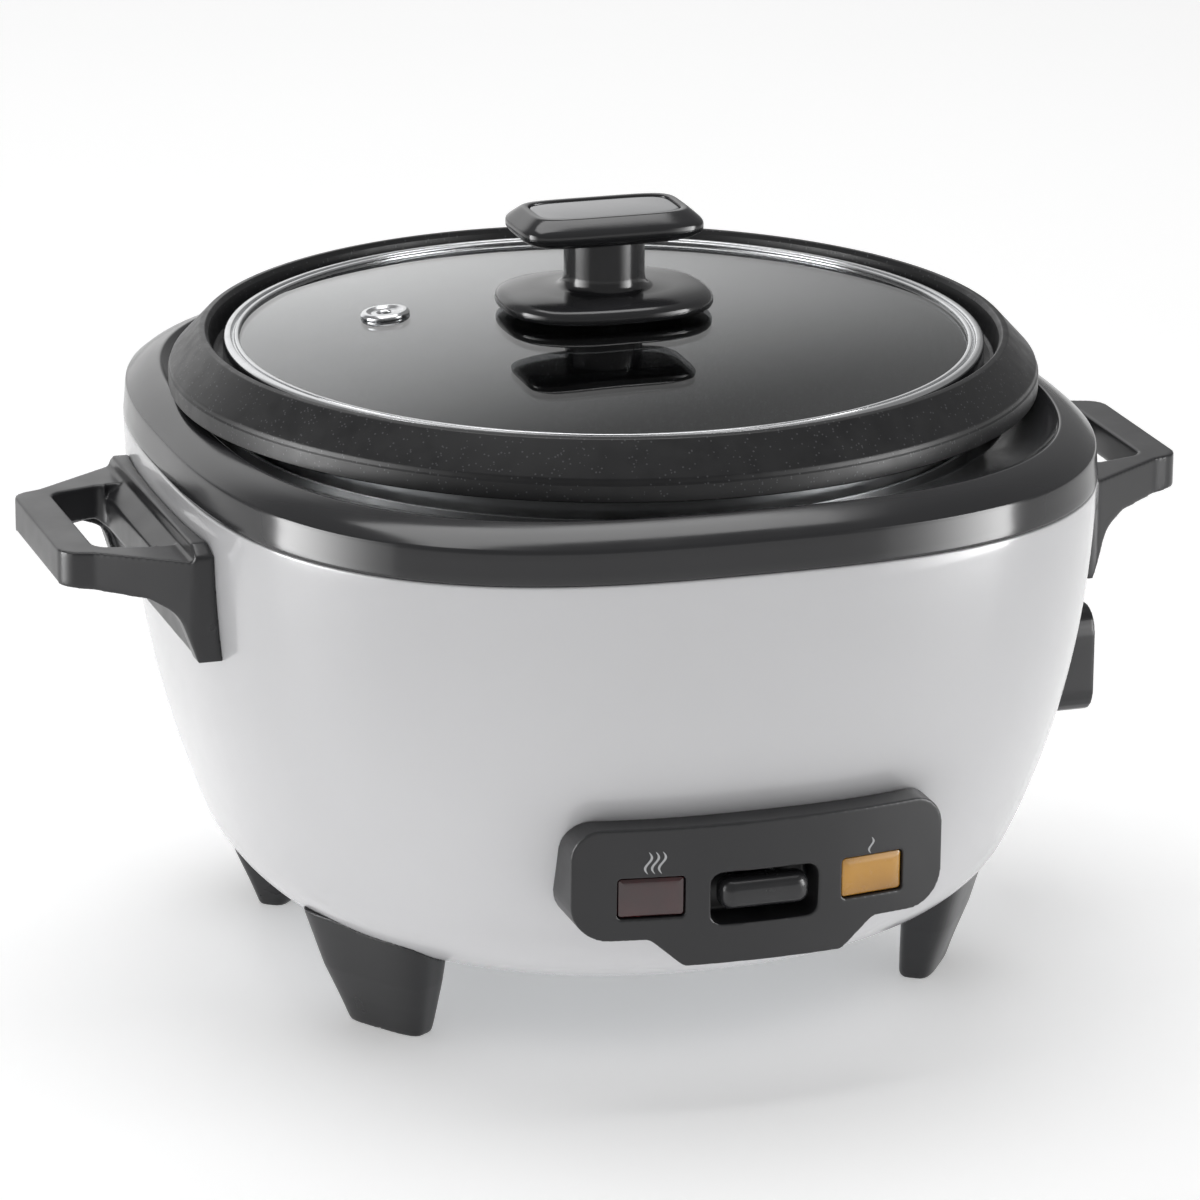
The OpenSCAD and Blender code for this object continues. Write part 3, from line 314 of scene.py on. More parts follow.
# %% Make the inner finishes
INNER_FINISHES = {
    # Zinc on steel: bluish crystals a few millimetres wide.
    "galvanised_steel": ("zinc_coated_steel", "#9fa3a8", "#c0c4c8", 1.0, 0.32, 0.5, 4.0, 0.01),
    # Bright zinc plate on screws: small and fairly shiny.
    "screw_steel": ("bright_zinc_plate", "#a9abad", "#c8c9ca", 1.0, 0.22, 0.34, 1.0, 0.01),
    # A neon lamp's glass: milky, with a warm cast from its electrodes.
    "lamp_glass": ("neon_lamp_glass", "#b99a86", "#d9c2ae", 0.0, 0.08, 0.16, 2.0, 0.005),
    # Plated brass contacts, warm yellow and rubbed by the plug.
    "contact_brass": ("plated_brass", "#b08d4c", "#d9b872", 1.0, 0.2, 0.35, 1.5, 0.008),
    # Sand-cast aluminium: grey, grainy and matt, turned flat on top.
    "cast_aluminium": ("cast_aluminium", "#a2a4a5", "#bdbfc0", 1.0, 0.38, 0.55, 0.8, 0.04),
    # The element's steel tube, browned by heat.
    "element_steel": ("heat_browned_steel", "#4c443c", "#7d736a", 1.0, 0.4, 0.58, 3.0, 0.02),
    # Pressed and fired ferrite: dark grey, dull, slightly gritty.
    "ferrite": ("fired_ferrite", "#2b2b2d", "#3c3c3f", 0.0, 0.5, 0.7, 0.6, 0.03),
    # Oiled spring wire.
    "spring_steel": ("oiled_spring_steel", "#6f7173", "#9a9c9e", 1.0, 0.25, 0.4, 1.0, 0.01),
    # Black phenolic of switch and thermostat.
    "black_plastic": ("black_phenolic", "#18181a", "#222225", 0.0, 0.4, 0.55, 0.8, 0.02),
    # The plunger's red nylon.
    "red_plastic": ("red_nylon", "#8d1a16", "#a8241e", 0.0, 0.35, 0.45, 1.0, 0.01),
    # Glass-fibre sleeve: off-white, woven and matt.
    "sleeve_white": ("glass_fibre_sleeve", "#cfc9bb", "#e6e1d5", 0.0, 0.6, 0.8, 0.7, 0.08),
    # Wire insulation, brown for the live side.
    "wire_brown": ("brown_insulation", "#4f2c17", "#60381f", 0.0, 0.35, 0.5, 1.2, 0.01),
    # Wire insulation, blue for the neutral side.
    "wire_blue": ("blue_insulation", "#1c4f9a", "#2a61b0", 0.0, 0.35, 0.5, 1.2, 0.01),
    # Silicone rubber of the washers: translucent grey, matt.
    "silicone": ("grey_silicone", "#77797b", "#898b8d", 0.0, 0.5, 0.65, 1.0, 0.015),
}
for slot_name, (name, dark, light, metal, gloss_low, gloss_high, mm, height) in INNER_FINISHES.items():
    material, tree, shader, place = new_material(name, Metallic=metal)
    vary(tree, shader, place, dark, light, mm * 3)
    vary_gloss(tree, shader, place, gloss_low, gloss_high, mm * 4)
    grain(tree, shader, place, mm, height, 0.6)
    MATERIALS[slot_name] = material
print(len(MATERIALS), "finishes")

# %% [markdown]
# ## Shape helpers
# Most pieces are either turned round an axis, drawn up through a stack of outlines, or moulded blocks
# with rounded edges. The body's plan is a superellipse: a curve between an ellipse and a rectangle,
# set by one number, its squareness. Its points sit at equal angles, so outlines of different shapes
# join without twisting.

# %% Outlines
PLAN_POINTS = 256


def plan(half_x, half_y, square, z, count=PLAN_POINTS):
    """Superellipse outline at height z; a squareness of 2 gives an ellipse."""
    ring = []
    for i in range(count):
        angle = 2 * math.pi * i / count
        across = abs(math.cos(angle) / half_x) ** square
        along = abs(math.sin(angle) / half_y) ** square
        reach = (across + along) ** (-1 / square)
        ring.append((reach * math.cos(angle), reach * math.sin(angle), z))
    return ring


def filleted(corners, steps=5):
    """Closed outline from corners (u, v, radius), each corner rounded to its radius."""
    outline = []
    for i, (u, v, radius) in enumerate(corners):
        here = Vector((u, v))
        to_last = Vector(corners[i - 1][:2]) - here
        to_next = Vector(corners[(i + 1) % len(corners)][:2]) - here
        half = to_last.angle(to_next) / 2
        room = 0.49 * min(to_last.length, to_next.length) * math.tan(half)
        radius = min(radius, room)
        if radius < 0.02 or half > math.radians(88):
            outline.append((u, v))
            continue
        start = here + to_last.normalized() * radius / math.tan(half)
        middle = here + (to_last.normalized() + to_next.normalized()).normalized() * radius / math.sin(half)
        spoke = start - middle
        turn = math.pi - 2 * half
        if to_last.cross(to_next) > 0:
            turn = -turn
        for k in range(steps + 1):
            angle = turn * k / steps
            cos, sin = math.cos(angle), math.sin(angle)
            outline.append((middle.x + spoke.x * cos - spoke.y * sin,
                            middle.y + spoke.x * sin + spoke.y * cos))
    return outline


# %% Meshes
def add_mesh(name, points, faces, crisp=40):
    """Object from points in millimetres; edges sharper than the crisp angle stay crisp."""
    mesh = bpy.data.meshes.new(name)
    mesh.from_pydata([Vector(p) * MM for p in points], [], faces)
    work = bmesh.new()
    work.from_mesh(mesh)
    bmesh.ops.remove_doubles(work, verts=work.verts, dist=1e-7)
    bmesh.ops.recalc_face_normals(work, faces=work.faces)
    work.to_mesh(mesh)
    work.free()
    smooth_shade(mesh, crisp)
    obj = bpy.data.objects.new(name, mesh)
    bpy.context.scene.collection.objects.link(obj)
    return obj


def smooth_shade(mesh, crisp):
    mesh.polygons.foreach_set("use_smooth", [True] * len(mesh.polygons))
    mesh.set_sharp_from_angle(angle=math.radians(crisp))


def loft(name, rings, looped=False, crisp=40):
    """Skin through a stack of outlines: looped back to the first one, or closed by flat ends."""
    count = len(rings[0])
    points = [p for ring in rings for p in ring]
    faces = []
    for i in range(len(rings) if looped else len(rings) - 1):
        up_ring = (i + 1) % len(rings)
        for j in range(count):
            k = (j + 1) % count
            faces.append((i * count + j, i * count + k, up_ring * count + k, up_ring * count + j))
    if not looped:
        faces.append(tuple(range(count)))
        faces.append(tuple(range((len(rings) - 1) * count, len(rings) * count)))
    return add_mesh(name, points, faces, crisp)


def turned(name, profile, count=PLAN_POINTS, crisp=40, place=Matrix.Identity(4)):
    """Closed profile of (radius, height) turned round the Z axis."""
    spokes = [(math.cos(2 * math.pi * j / count), math.sin(2 * math.pi * j / count)) for j in range(count)]
    rings = [[place @ Vector((r * c, r * s, z)) for c, s in spokes] for r, z in profile]
    return loft(name, rings, looped=True, crisp=crisp)


def prism(name, outline, axis, low, high):
    """Block with an outline drawn across X, Y or Z, between two heights along that axis."""
    order = {"X": lambda u, v, w: (w, u, v), "Y": lambda u, v, w: (u, w, v), "Z": lambda u, v, w: (u, v, w)}
    rings = [[order[axis](u, v, w) for u, v in outline] for w in (low, high)]
    return loft(name, rings)


# %% Joining, cutting and rounding
def keep_result(obj):
    """Writes the result of an object's modifiers into its mesh."""
    evaluated = obj.evaluated_get(bpy.context.evaluated_depsgraph_get())
    mesh = bpy.data.meshes.new_from_object(evaluated)
    obj.modifiers.clear()
    obj.data = mesh
    return obj


def combine(obj, tool, operation, keep_tool=False):
    step = obj.modifiers.new("combine", "BOOLEAN")
    step.operation = operation
    step.solver = "EXACT"
    step.object = tool
    keep_result(obj)
    if not keep_tool:
        bpy.data.objects.remove(tool)
    return obj


def moulded(obj, grid_mm, rounds, crisp=180):
    """Remakes a block on a fine grid and relaxes it, so that every edge gets a small even radius."""
    step = obj.modifiers.new("grid", "REMESH")
    step.mode = "VOXEL"
    step.voxel_size = grid_mm * MM
    relax = obj.modifiers.new("relax", "SMOOTH")
    relax.factor = 0.5
    relax.iterations = rounds
    keep_result(obj)
    smooth_shade(obj.data, crisp)
    return obj


def finish_piece(obj, body, slot_name, replaces=(), material=None):
    """Names the body a piece rides on, its finish, and the CAD nodes it stands for."""
    obj.data.materials.clear()
    obj.data.materials.append(material or MATERIALS[slot_name])
    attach(obj, body)
    if replaces:
        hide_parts(*replaces)
    return obj


# %% [markdown]
# ## Body shell
# The body is one deep-drawn steel pressing. Its sides draw in on a curve, the plan changes from nearly
# a rounded rectangle at the top to nearly an ellipse at the bottom, and a large bend leads to the
# underside. A loft through many outlines gives that shape exactly, so reflections run without a kink.
# The wall has its real thickness, and a slot lets the lever's arm through.

# %% Build the body shell
TAPER = 27.3
TAPER_POWER = 2.5
CORNER_R = 22
SQUARE_TOP = 2.8
SQUARE_BASE = 2.2
WALL = 1.2
FLANGE = 3
CORNER_Z = SHELL_Z0 + CORNER_R
PANEL_Y = HALF_D + 4
WINDOW_Z = SHELL_Z0 + 40.8
LEVER_Z = WINDOW_Z + 1


def side_inset(z, wall=0.0):
    drawn_in = TAPER * (max(0.0, SHELL_Z1 - z) / (SHELL_Z1 - SHELL_Z0)) ** TAPER_POWER
    bend = CORNER_R - wall
    if z < CORNER_Z:
        drop = min(1.0, (CORNER_Z - z) / bend)
        drawn_in += bend * (1 - math.sqrt(max(0.0, 1 - drop * drop)))
    return drawn_in + wall


def squareness(z):
    share = (z - SHELL_Z0) / (SHELL_Z1 - SHELL_Z0)
    return SQUARE_BASE + (SQUARE_TOP - SQUARE_BASE) * min(1.0, max(0.0, share))


def body_ring(z, wall=0.0, count=PLAN_POINTS):
    inset = side_inset(z, wall)
    return plan(HALF_W - inset, HALF_D - inset, squareness(z), z, count)


def body_heights(wall, bend_steps, side_steps, top):
    bend = [CORNER_Z - (CORNER_R - wall) * math.cos(math.pi / 2 * i / bend_steps) for i in range(bend_steps)]
    return bend + [CORNER_Z + (top - CORNER_Z) * i / side_steps for i in range(side_steps + 1)]


outside = [body_ring(z) for z in body_heights(0, 16, 36, SHELL_Z1 - 0.9)]
rolled = [plan(HALF_W - inset, HALF_D - inset, SQUARE_TOP, SHELL_Z1 - drop)
          for inset, drop in ((0.06, 0.5), (0.22, 0.22), (0.5, 0.06), (0.8, 0.0), (1.1, 0.1))]
inside = [body_ring(z, WALL) for z in body_heights(WALL, 8, 12, SHELL_Z1 - 0.5)]
hole = side_inset(SHELL_Z0) + FLANGE
hole_rings = [plan(HALF_W - hole, HALF_D - hole, SQUARE_BASE, SHELL_Z0 + rise) for rise in (0, WALL)]
shell = loft("enamel_shell", hole_rings[:1] + outside + rolled + inside[::-1] + hole_rings[1:], looped=True)
SLOT = [(-7, LEVER_Z - 8), (7, LEVER_Z - 8), (7, LEVER_Z + 5), (-7, LEVER_Z + 5)]
combine(shell, prism("slot", SLOT, "Y", 3 - PANEL_Y, 40 - PANEL_Y), "DIFFERENCE")
smooth_shade(shell.data, 40)
finish_piece(shell, "root", "white_enamel", ["outer_shell"])
print("shell mesh:", len(shell.data.polygons), "faces")

# %% [markdown]
# The handles, panel and inlet are cut to the body, so one plain solid of its outer form is kept as a
# cutting tool. It is removed again when the last of them is done.

# %% Make the cutting form
body_form = loft("body_form", [body_ring(z, 0, 128) for z in body_heights(0, 8, 18, SHELL_Z1)])

# %% [markdown]
# ## Collar
# The collar is one moulding: an upright band over the shell's edge, a shoulder that turns inward from a
# firm edge, a crease, and a slope that passes from the body's plan to the round hole for the bowl. The
# loft does this in one skin, because each outline may have its own squareness. Small radii on each
# edge catch the light as on a real moulding.

# %% Build the collar
HOLE_R = 116.2
RECESS_R = 122.5


def edge_ring(z, inset):
    return plan(HALF_W - inset, HALF_D - inset, SQUARE_TOP, z)


def blend_ring(share, z):
    """Outline between the crease and the round recess."""
    outer = edge_ring(z, 12.2)
    inner = plan(RECESS_R, RECESS_R, 2, z)
    return [tuple(a[i] * (1 - share) + b[i] * share for i in range(2)) + (z,)
            for a, b in zip(outer, inner)]


collar_rings = [edge_ring(SHELL_Z1 + rise, inset) for rise, inset in
                ((0.1, 1.0), (0.05, 0.6), (0.2, 0.25), (0.5, 0.06), (1.0, 0.02), (3, 0.2), (5, 0.36),
                 (7, 0.52), (9.2, 0.68), (9.9, 0.78), (10.3, 0.98), (10.6, 1.3), (11.2, 1.95),
                 (12.2, 3.1), (13.2, 4.45), (14.2, 6.1), (15.0, 7.8), (15.5, 9.2), (15.85, 10.1),
                 (16.0, 10.7), (15.9, 11.3), (15.5, 11.8), (15.0, 12.2))]
for share, drop in ((0.1, 1.6), (0.3, 2.9), (0.5, 4.2), (0.7, 5.5), (0.85, 6.6), (0.95, 7.3), (1.0, 7.6)):
    collar_rings.append(blend_ring(share, CREASE_Z - drop))
collar_rings += [plan(r, r, 2, RECESS_Z + rise) for r, rise in
                 ((RECESS_R - 0.5, 0.15), (RECESS_R - 1.5, 0.12), (HOLE_R + 0.7, 0.12), (HOLE_R, 0.1),
                  (HOLE_R + 0.1, -0.7), (HOLE_R + 0.1, -18), (HOLE_R + 2, -18), (HOLE_R + 2, -4))]
collar_rings += [edge_ring(SHELL_Z1 + rise, inset) for rise, inset in
                 ((5.5, 3.4), (-8, 3.4), (-8, 1.5), (-0.2, 1.45))]
collar = loft("collar", collar_rings, looped=True, crisp=50)
finish_piece(collar, "root", "charcoal_plastic", ["top_collar"])
print("collar mesh:", len(collar.data.polygons), "faces")

# %% [markdown]
# ## Handles
# Each handle is a moulded loop: a root flange against the body, two side webs that narrow to the grip,
# a finger opening with a sloping ledge, and a hollow underneath that leaves the webs as thin walls.
# It is carved from its outlines with Boolean cuts, as a toolmaker would carve the electrode, and is
# then remade on a half-millimetre grid and relaxed. That rounds every edge evenly, which is hard to get
# with a bevel on such a shape.

# %% Carve one handle
handle_low, handle_high = box_mm("handle_right")
HANDLE_X = handle_high.x
HANDLE_Z = handle_high.z - 4.5
ROOT_HALF = handle_high.y
GRIP_HALF = 34
LEG = 31
BAR = 10.5
WEB = 7


def carve_handle(name, side):
    wall_x = HALF_W
    low = HANDLE_Z - LEG
    handle = prism(name, filleted([
        (wall_x - 20, -ROOT_HALF, 0), (wall_x + 3, -ROOT_HALF, 5), (HANDLE_X - 9, -GRIP_HALF, 6),
        (HANDLE_X, -GRIP_HALF + 3, 10), (HANDLE_X, GRIP_HALF - 3, 10), (HANDLE_X - 9, GRIP_HALF, 6),
        (wall_x + 3, ROOT_HALF, 5), (wall_x - 20, ROOT_HALF, 0)], 8), "Z", low - 1, HANDLE_Z + 1)
    side_view = prism("side_view", filleted([
        (wall_x - 22, HANDLE_Z, 0), (HANDLE_X + 2, HANDLE_Z, 0), (HANDLE_X + 2, HANDLE_Z - BAR, 0),
        (wall_x + 14.5, HANDLE_Z - BAR - 2.2, 3), (wall_x + 7.2, HANDLE_Z - 16.5, 9),
        (wall_x + 2.2, low, 0), (wall_x - 22, low, 0)], 8), "Y", -ROOT_HALF - 5, ROOT_HALF + 5)
    combine(handle, side_view, "INTERSECT")
    flange = prism("flange", filleted([
        (-ROOT_HALF, HANDLE_Z - 8, 0), (ROOT_HALF, HANDLE_Z - 8, 0), (ROOT_HALF, HANDLE_Z + 1.5, 1.5),
        (ROOT_HALF - 5, HANDLE_Z + 4.5, 2), (5 - ROOT_HALF, HANDLE_Z + 4.5, 2),
        (-ROOT_HALF, HANDLE_Z + 1.5, 1.5)]), "X", wall_x - 20, wall_x + 3)
    combine(handle, flange, "UNION")
    opening = prism("opening", filleted([
        (wall_x + 8.5, -33, 3), (HANDLE_X - 11, -28, 5), (HANDLE_X - 11, 28, 5), (wall_x + 8.5, 33, 3)]),
        "Z", low - 9, HANDLE_Z + 9)
    combine(handle, opening, "DIFFERENCE")
    ledge = prism("ledge", [(wall_x + 3.5, HANDLE_Z + 0.01), (wall_x + 9, HANDLE_Z - 4.2),
                            (wall_x + 9, HANDLE_Z + 2), (wall_x + 3.5, HANDLE_Z + 2)], "Y", -32.5, 32.5)
    combine(handle, ledge, "DIFFERENCE")
    cove = prism("cove", filleted([
        (wall_x + 1.5, low - 2, 0), (wall_x + 2, low + 6, 0), (wall_x + 4, HANDLE_Z - 19, 4),
        (wall_x + 8, HANDLE_Z - 13.6, 5), (wall_x + 12, HANDLE_Z - BAR, 3), (wall_x + 60, HANDLE_Z - BAR, 0),
        (wall_x + 60, low - 2, 0)], 8), "Y", WEB - ROOT_HALF, ROOT_HALF - WEB)
    walls = prism("walls", filleted([
        (wall_x - 20, WEB - ROOT_HALF, 0), (wall_x + 3, WEB - ROOT_HALF, 4),
        (HANDLE_X - 8, WEB - GRIP_HALF, 4), (HANDLE_X + 9, WEB - GRIP_HALF, 0),
        (HANDLE_X + 9, GRIP_HALF - WEB, 0), (HANDLE_X - 8, GRIP_HALF - WEB, 4),
        (wall_x + 3, ROOT_HALF - WEB, 4), (wall_x - 20, ROOT_HALF - WEB, 0)]), "Z", low - 3, HANDLE_Z)
    combine(cove, walls, "INTERSECT")
    combine(handle, cove, "DIFFERENCE")
    combine(handle, body_form, "DIFFERENCE", keep_tool=True)
    if side < 0:
        for vertex in handle.data.vertices:
            vertex.co.x = -vertex.co.x
        handle.data.flip_normals()
    return moulded(handle, 0.55, 7)


# %% Build both handles
for side, node in ((-1, "handle_left"), (1, "handle_right")):
    handle = carve_handle(node + "_moulding", side)
    finish_piece(handle, "root", "charcoal_plastic", [node], satin_charcoal)
print("handle mesh:", len(handle.data.polygons), "faces")

# %% [markdown]
# ## Feet
# A foot is a tapered blade that stands with its broad face outward, near a corner of the underside. A
# loft between rounded rectangles makes the taper. The top is cut to the body and the edges are rounded
# on the grid, as for the handles.

# %% Build the feet
FOOT_X = HALF_W - 52.7
FOOT_Y = HALF_D - 87.7
FOOT_TURN = math.radians(55)
FOOT_LEVELS = ((0, 13.4, 5, -1), (1.2, 13.9, 5.5, -1), (5, 15.2, 6.0, -0.3), (9, 16.5, 6.6, 0.5),
               (18, 19.5, 8, 2.5), (36, 24, 10, 5.5))
FEET = {"foot_front_left": (-1, -1), "foot_front_right": (1, -1), "foot_rear_left": (-1, 1),
        "foot_rear_right": (1, 1)}
for node, (x, y) in FEET.items():
    turn = -x * y * FOOT_TURN
    rings = []
    for z, half_long, half_thick, shift in FOOT_LEVELS:
        ring = []
        for px, py, pz in plan(half_long, half_thick, 4, z, 96):
            py = (py - shift) * (-1 if y > 0 else 1)
            ring.append((x * FOOT_X + px * math.cos(turn) - py * math.sin(turn),
                         y * FOOT_Y + px * math.sin(turn) + py * math.cos(turn), pz))
        rings.append(ring)
    foot = loft(node + "_moulding", rings)
    bore = turned("bore", [(0.01, -1), (3.7, -1), (3.7, 12), (0.01, 12)], 48,
                  place=Matrix.Translation((x * FOOT_X, y * FOOT_Y, 0)))
    combine(foot, bore, "DIFFERENCE")
    combine(foot, body_form, "DIFFERENCE", keep_tool=True)
    moulded(foot, 0.5, 5)
    finish_piece(foot, "root", "charcoal_plastic", [node], satin_charcoal)
print("foot mesh:", len(foot.data.polygons), "faces")

# %% [markdown]
# ## Control panel
# The panel is a satin moulding with a curved front, part of a drum of 235 mm radius. Its outline is
# deeper in the middle. Behind the front wall it is hollow, apart from a dark well round the lever; each
# lamp's lens sits in a hole through the front wall. The same carve, grid and relax steps make it, on a
# finer grid, because its front edge is crisp.

# %% Carve the panel
PANEL_R = 235
DRUM_POINTS = 720
DRUM_HEIGHT = 200
PANEL_TOP = box_mm("control_panel")[1].z
PANEL_LOW = box_mm("control_panel")[0].z
PANEL_HALF = box_mm("control_panel")[1].x
END_LOW = PANEL_TOP - 33.8
LAMP_X = 33.7
LAMP_Z = PANEL_TOP - 21
LAMP_TURN = math.asin(LAMP_X / PANEL_R)
LENS_W = 19.4
LENS_H = 11.8
GAP = 0.25


def panel_outline(margin):
    half = PANEL_HALF - margin
    return filleted([(-half, PANEL_TOP - margin, 9 - margin), (half, PANEL_TOP - margin, 9 - margin),
                     (half, END_LOW + margin, 12 - margin), (34, END_LOW + margin, 4),
                     (24, PANEL_LOW + margin, 4), (-24, PANEL_LOW + margin, 4),
                     (-34, END_LOW + margin, 4), (-half, END_LOW + margin, 12 - margin)], 8)


def drum(name, depth):
    """Upright cylinder whose skin lies a depth behind the panel's front."""
    reach = PANEL_R - depth
    turns = [math.pi * 2 * i / DRUM_POINTS for i in range(DRUM_POINTS)]
    ring = [(reach * math.cos(turn), PANEL_R - PANEL_Y + reach * math.sin(turn)) for turn in turns]
    return loft(name, [[(u, v, z) for u, v in ring] for z in (0, DRUM_HEIGHT)])


def at_lamp(side):
    """Place that turns a shape from the panel's middle to a lamp."""
    centre = Vector((0, PANEL_R - PANEL_Y, 0))
    turn = Matrix.Rotation(side * LAMP_TURN, 4, "Z")
    return Matrix.Translation(centre) @ turn @ Matrix.Translation(-centre)


def rounded_box(half_w, half_h, radius, middle):
    return filleted([(-half_w, middle - half_h, radius), (half_w, middle - half_h, radius),
                     (half_w, middle + half_h, radius), (-half_w, middle + half_h, radius)])


panel = prism("panel_moulding", panel_outline(0), "Y", -PANEL_Y - 3, 36 - HALF_D)
combine(panel, drum("front", 0), "INTERSECT")
hollow = prism("hollow", panel_outline(2.4), "Y", -PANEL_Y - 3, 37 - HALF_D)
combine(hollow, drum("hollow_front", 3), "INTERSECT")
well = prism("well", rounded_box(18.2, 9.8, 5, WINDOW_Z), "Y", -PANEL_Y + 1, -PANEL_Y + 13.5)
combine(hollow, well, "DIFFERENCE")
combine(panel, hollow, "DIFFERENCE")
window = prism("window", rounded_box(16.3, 7.9, 3.6, WINDOW_Z), "Y", -PANEL_Y - 3, -PANEL_Y + 12)
combine(panel, window, "DIFFERENCE")
combine(panel, prism("slot", SLOT, "Y", 5 - PANEL_Y, 40 - PANEL_Y), "DIFFERENCE")
for side in (-1, 1):
    lamp_hole = prism("lamp_hole", rounded_box(LENS_W / 2 + GAP, LENS_H / 2 + GAP, 1.2, LAMP_Z), "Y",
                      -PANEL_Y - 3, -PANEL_Y + 6)
    lamp_hole.data.transform(at_lamp(side).to_3x3().to_4x4())
    offset = at_lamp(side).translation * MM
    lamp_hole.data.transform(Matrix.Translation(offset))
    combine(panel, lamp_hole, "DIFFERENCE")
combine(panel, body_form, "DIFFERENCE", keep_tool=True)
moulded(panel, 0.4, 4)
finish_piece(panel, "root", "panel_plastic", ["control_panel"])
print("panel mesh:", len(panel.data.polygons), "faces")

# %% [markdown]
# ## Lamp lenses
# Each lens is a small acrylic block with a raised, bevelled face, set just behind the panel's front.
# A loft with four shrinking outlines gives the bevel and a slight crown.

# %% Build the lenses
for side, node, slot_name in ((-1, "cook_lens", "red_lens"), (1, "warm_lens", "amber_lens")):
    place = at_lamp(side)
    rings = []
    for inset, depth in ((-0.9, 4.3), (-0.9, 3.4), (0, 3.3), (0, 1.5), (0.25, 1.05), (0.8, 0.85),
                         (2.6, 0.7), (4.4, 0.64)):
        outline = rounded_box(LENS_W / 2 - inset, LENS_H / 2 - inset, max(0.3, 1.1 - inset), LAMP_Z)
        rings.append([place @ Vector((u, -PANEL_Y + depth, v)) for u, v in outline])
    lens = loft(node + "_acrylic", rings, crisp=25)
    finish_piece(lens, "root", slot_name, [node])

# %% [markdown]
# ## Steam marks
# Small wavy lines above each lamp say cooking or keeping warm. They are printed, so each is a ribbon a
# few hundredths of a millimetre proud of the panel, thin at its ends and thick in its middle.

# %% Build the steam marks
material, tree, shader, place = new_material("pale_grey_ink", IOR=1.5)
vary(tree, shader, place, "#b9babc", "#cfd0d2", 3)
vary_gloss(tree, shader, place, 0.35, 0.5, 2)
grain(tree, shader, place, 0.3, 0.004, 0.4)
pale_ink = material


def front_y(x):
    """Y of the panel's front at a distance from its middle."""
    return PANEL_R - PANEL_Y - math.sqrt(PANEL_R ** 2 - x ** 2)


def steam_mark(name, centre_x, centre_z, height, width):
    steps = 24
    left, right_side = [], []
    for i in range(steps + 1):
        share = i / steps
        x = centre_x - 0.9 * math.sin(2 * math.pi * share) * height / 6.7 + 0.25 * (share - 0.5)
        half = width / 2 * math.sin(math.pi * share) ** 0.6 + 0.03
        z = centre_z + height * (share - 0.5)
        left.append((x - half, z))
        right_side.append((x + half, z))
    outline = left + right_side[::-1]
    rings = [[(u, front_y(u) - proud, v) for u, v in outline] for proud in (-0.1, 0.05)]
    count = len(outline)
    faces = [(j, (j + 1) % count, count + (j + 1) % count, count + j) for j in range(count)]
    for i in range(steps):
        a, b, c, d = i, i + 1, count - 2 - i, count - 1 - i
        faces.append((a, b, c, d))
        faces.append((count + a, count + b, count + c, count + d))
    mark = add_mesh(name, rings[0] + rings[1], faces)
    finish_piece(mark, "root", "panel_plastic", material=pale_ink)


for i in range(3):
    steam_mark(f"cook_mark_{i + 1}", -32.7 + (i - 1) * 2.0, LAMP_Z + 10.7, 6.7, 0.75)
steam_mark("warm_mark", 33.0, LAMP_Z + 9.1, 4.9, 0.7)

# %% [markdown]
# ## Lever
# The lever is a bar the width of a fingertip that slides up and down in its well. Its long edges are
# well rounded and its ends are softer still. Outlines that shrink towards the front give the crown.

# %% Build the lever
lever_low, lever_high = box_mm("cook_lever")
lever_mid = (lever_low.z + lever_high.z) / 2
lever_half_w = lever_high.x
lever_half_h = (lever_high.z - lever_low.z) / 2
rings = []
for share, inset in ((0.0, 0.8), (0.06, 0.25), (0.2, 0.0), (0.45, 0.0), (0.58, 0.15), (0.7, 0.5), (0.8, 1.0),
                     (0.88, 1.6), (0.94, 2.2), (0.98, 2.9), (1.0, 3.7)):
    y = lever_high.y + (lever_low.y - lever_high.y) * share
    outline = filleted([(u * (lever_half_w - inset), lever_mid + v * (lever_half_h - inset * 0.8),
                         max(0.6, 3.4 - inset * 0.6)) for u, v in ((-1, -1), (1, -1), (1, 1), (-1, 1))], 8)
    rings.append([(u, y, v) for u, v in outline])
lever = loft("lever_bar", rings, crisp=60)
finish_piece(lever, "lever", "lever_plastic", ["cook_lever"])
print("lever", round(lever_half_w * 2, 1), "mm wide")

# %% [markdown]
# ## Power inlet
# A rounded block on the right side holds a recess for the plug of the lead. It is carved like the panel.

# %% Carve the inlet
inlet_low, inlet_high = box_mm("inlet_housing")
INLET_Z = (inlet_low.z + inlet_high.z) / 2
INLET_X = inlet_high.x
inlet = prism("inlet_moulding", rounded_box(20, 17.25, 8, INLET_Z), "X", HALF_W - 25, INLET_X)
recess = prism("recess", filleted([
    (-12, INLET_Z - 8.3, 1), (12, INLET_Z - 8.3, 1), (12, INLET_Z + 3, 1), (7, INLET_Z + 8.3, 1),
    (-7, INLET_Z + 8.3, 1), (-12, INLET_Z + 3, 1)]), "X", INLET_X - 18, INLET_X + 5)
combine(inlet, recess, "DIFFERENCE")
back_room = prism("back_room", rounded_box(12, 10, 3, INLET_Z), "X", HALF_W - 30, INLET_X - 20.5)
combine(inlet, back_room, "DIFFERENCE")
combine(inlet, body_form, "DIFFERENCE", keep_tool=True)
moulded(inlet, 0.45, 5)
finish_piece(inlet, "root", "charcoal_plastic", ["inlet_housing"], satin_charcoal)
bpy.data.objects.remove(body_form)
print("inlet mesh:", len(inlet.data.polygons), "faces")
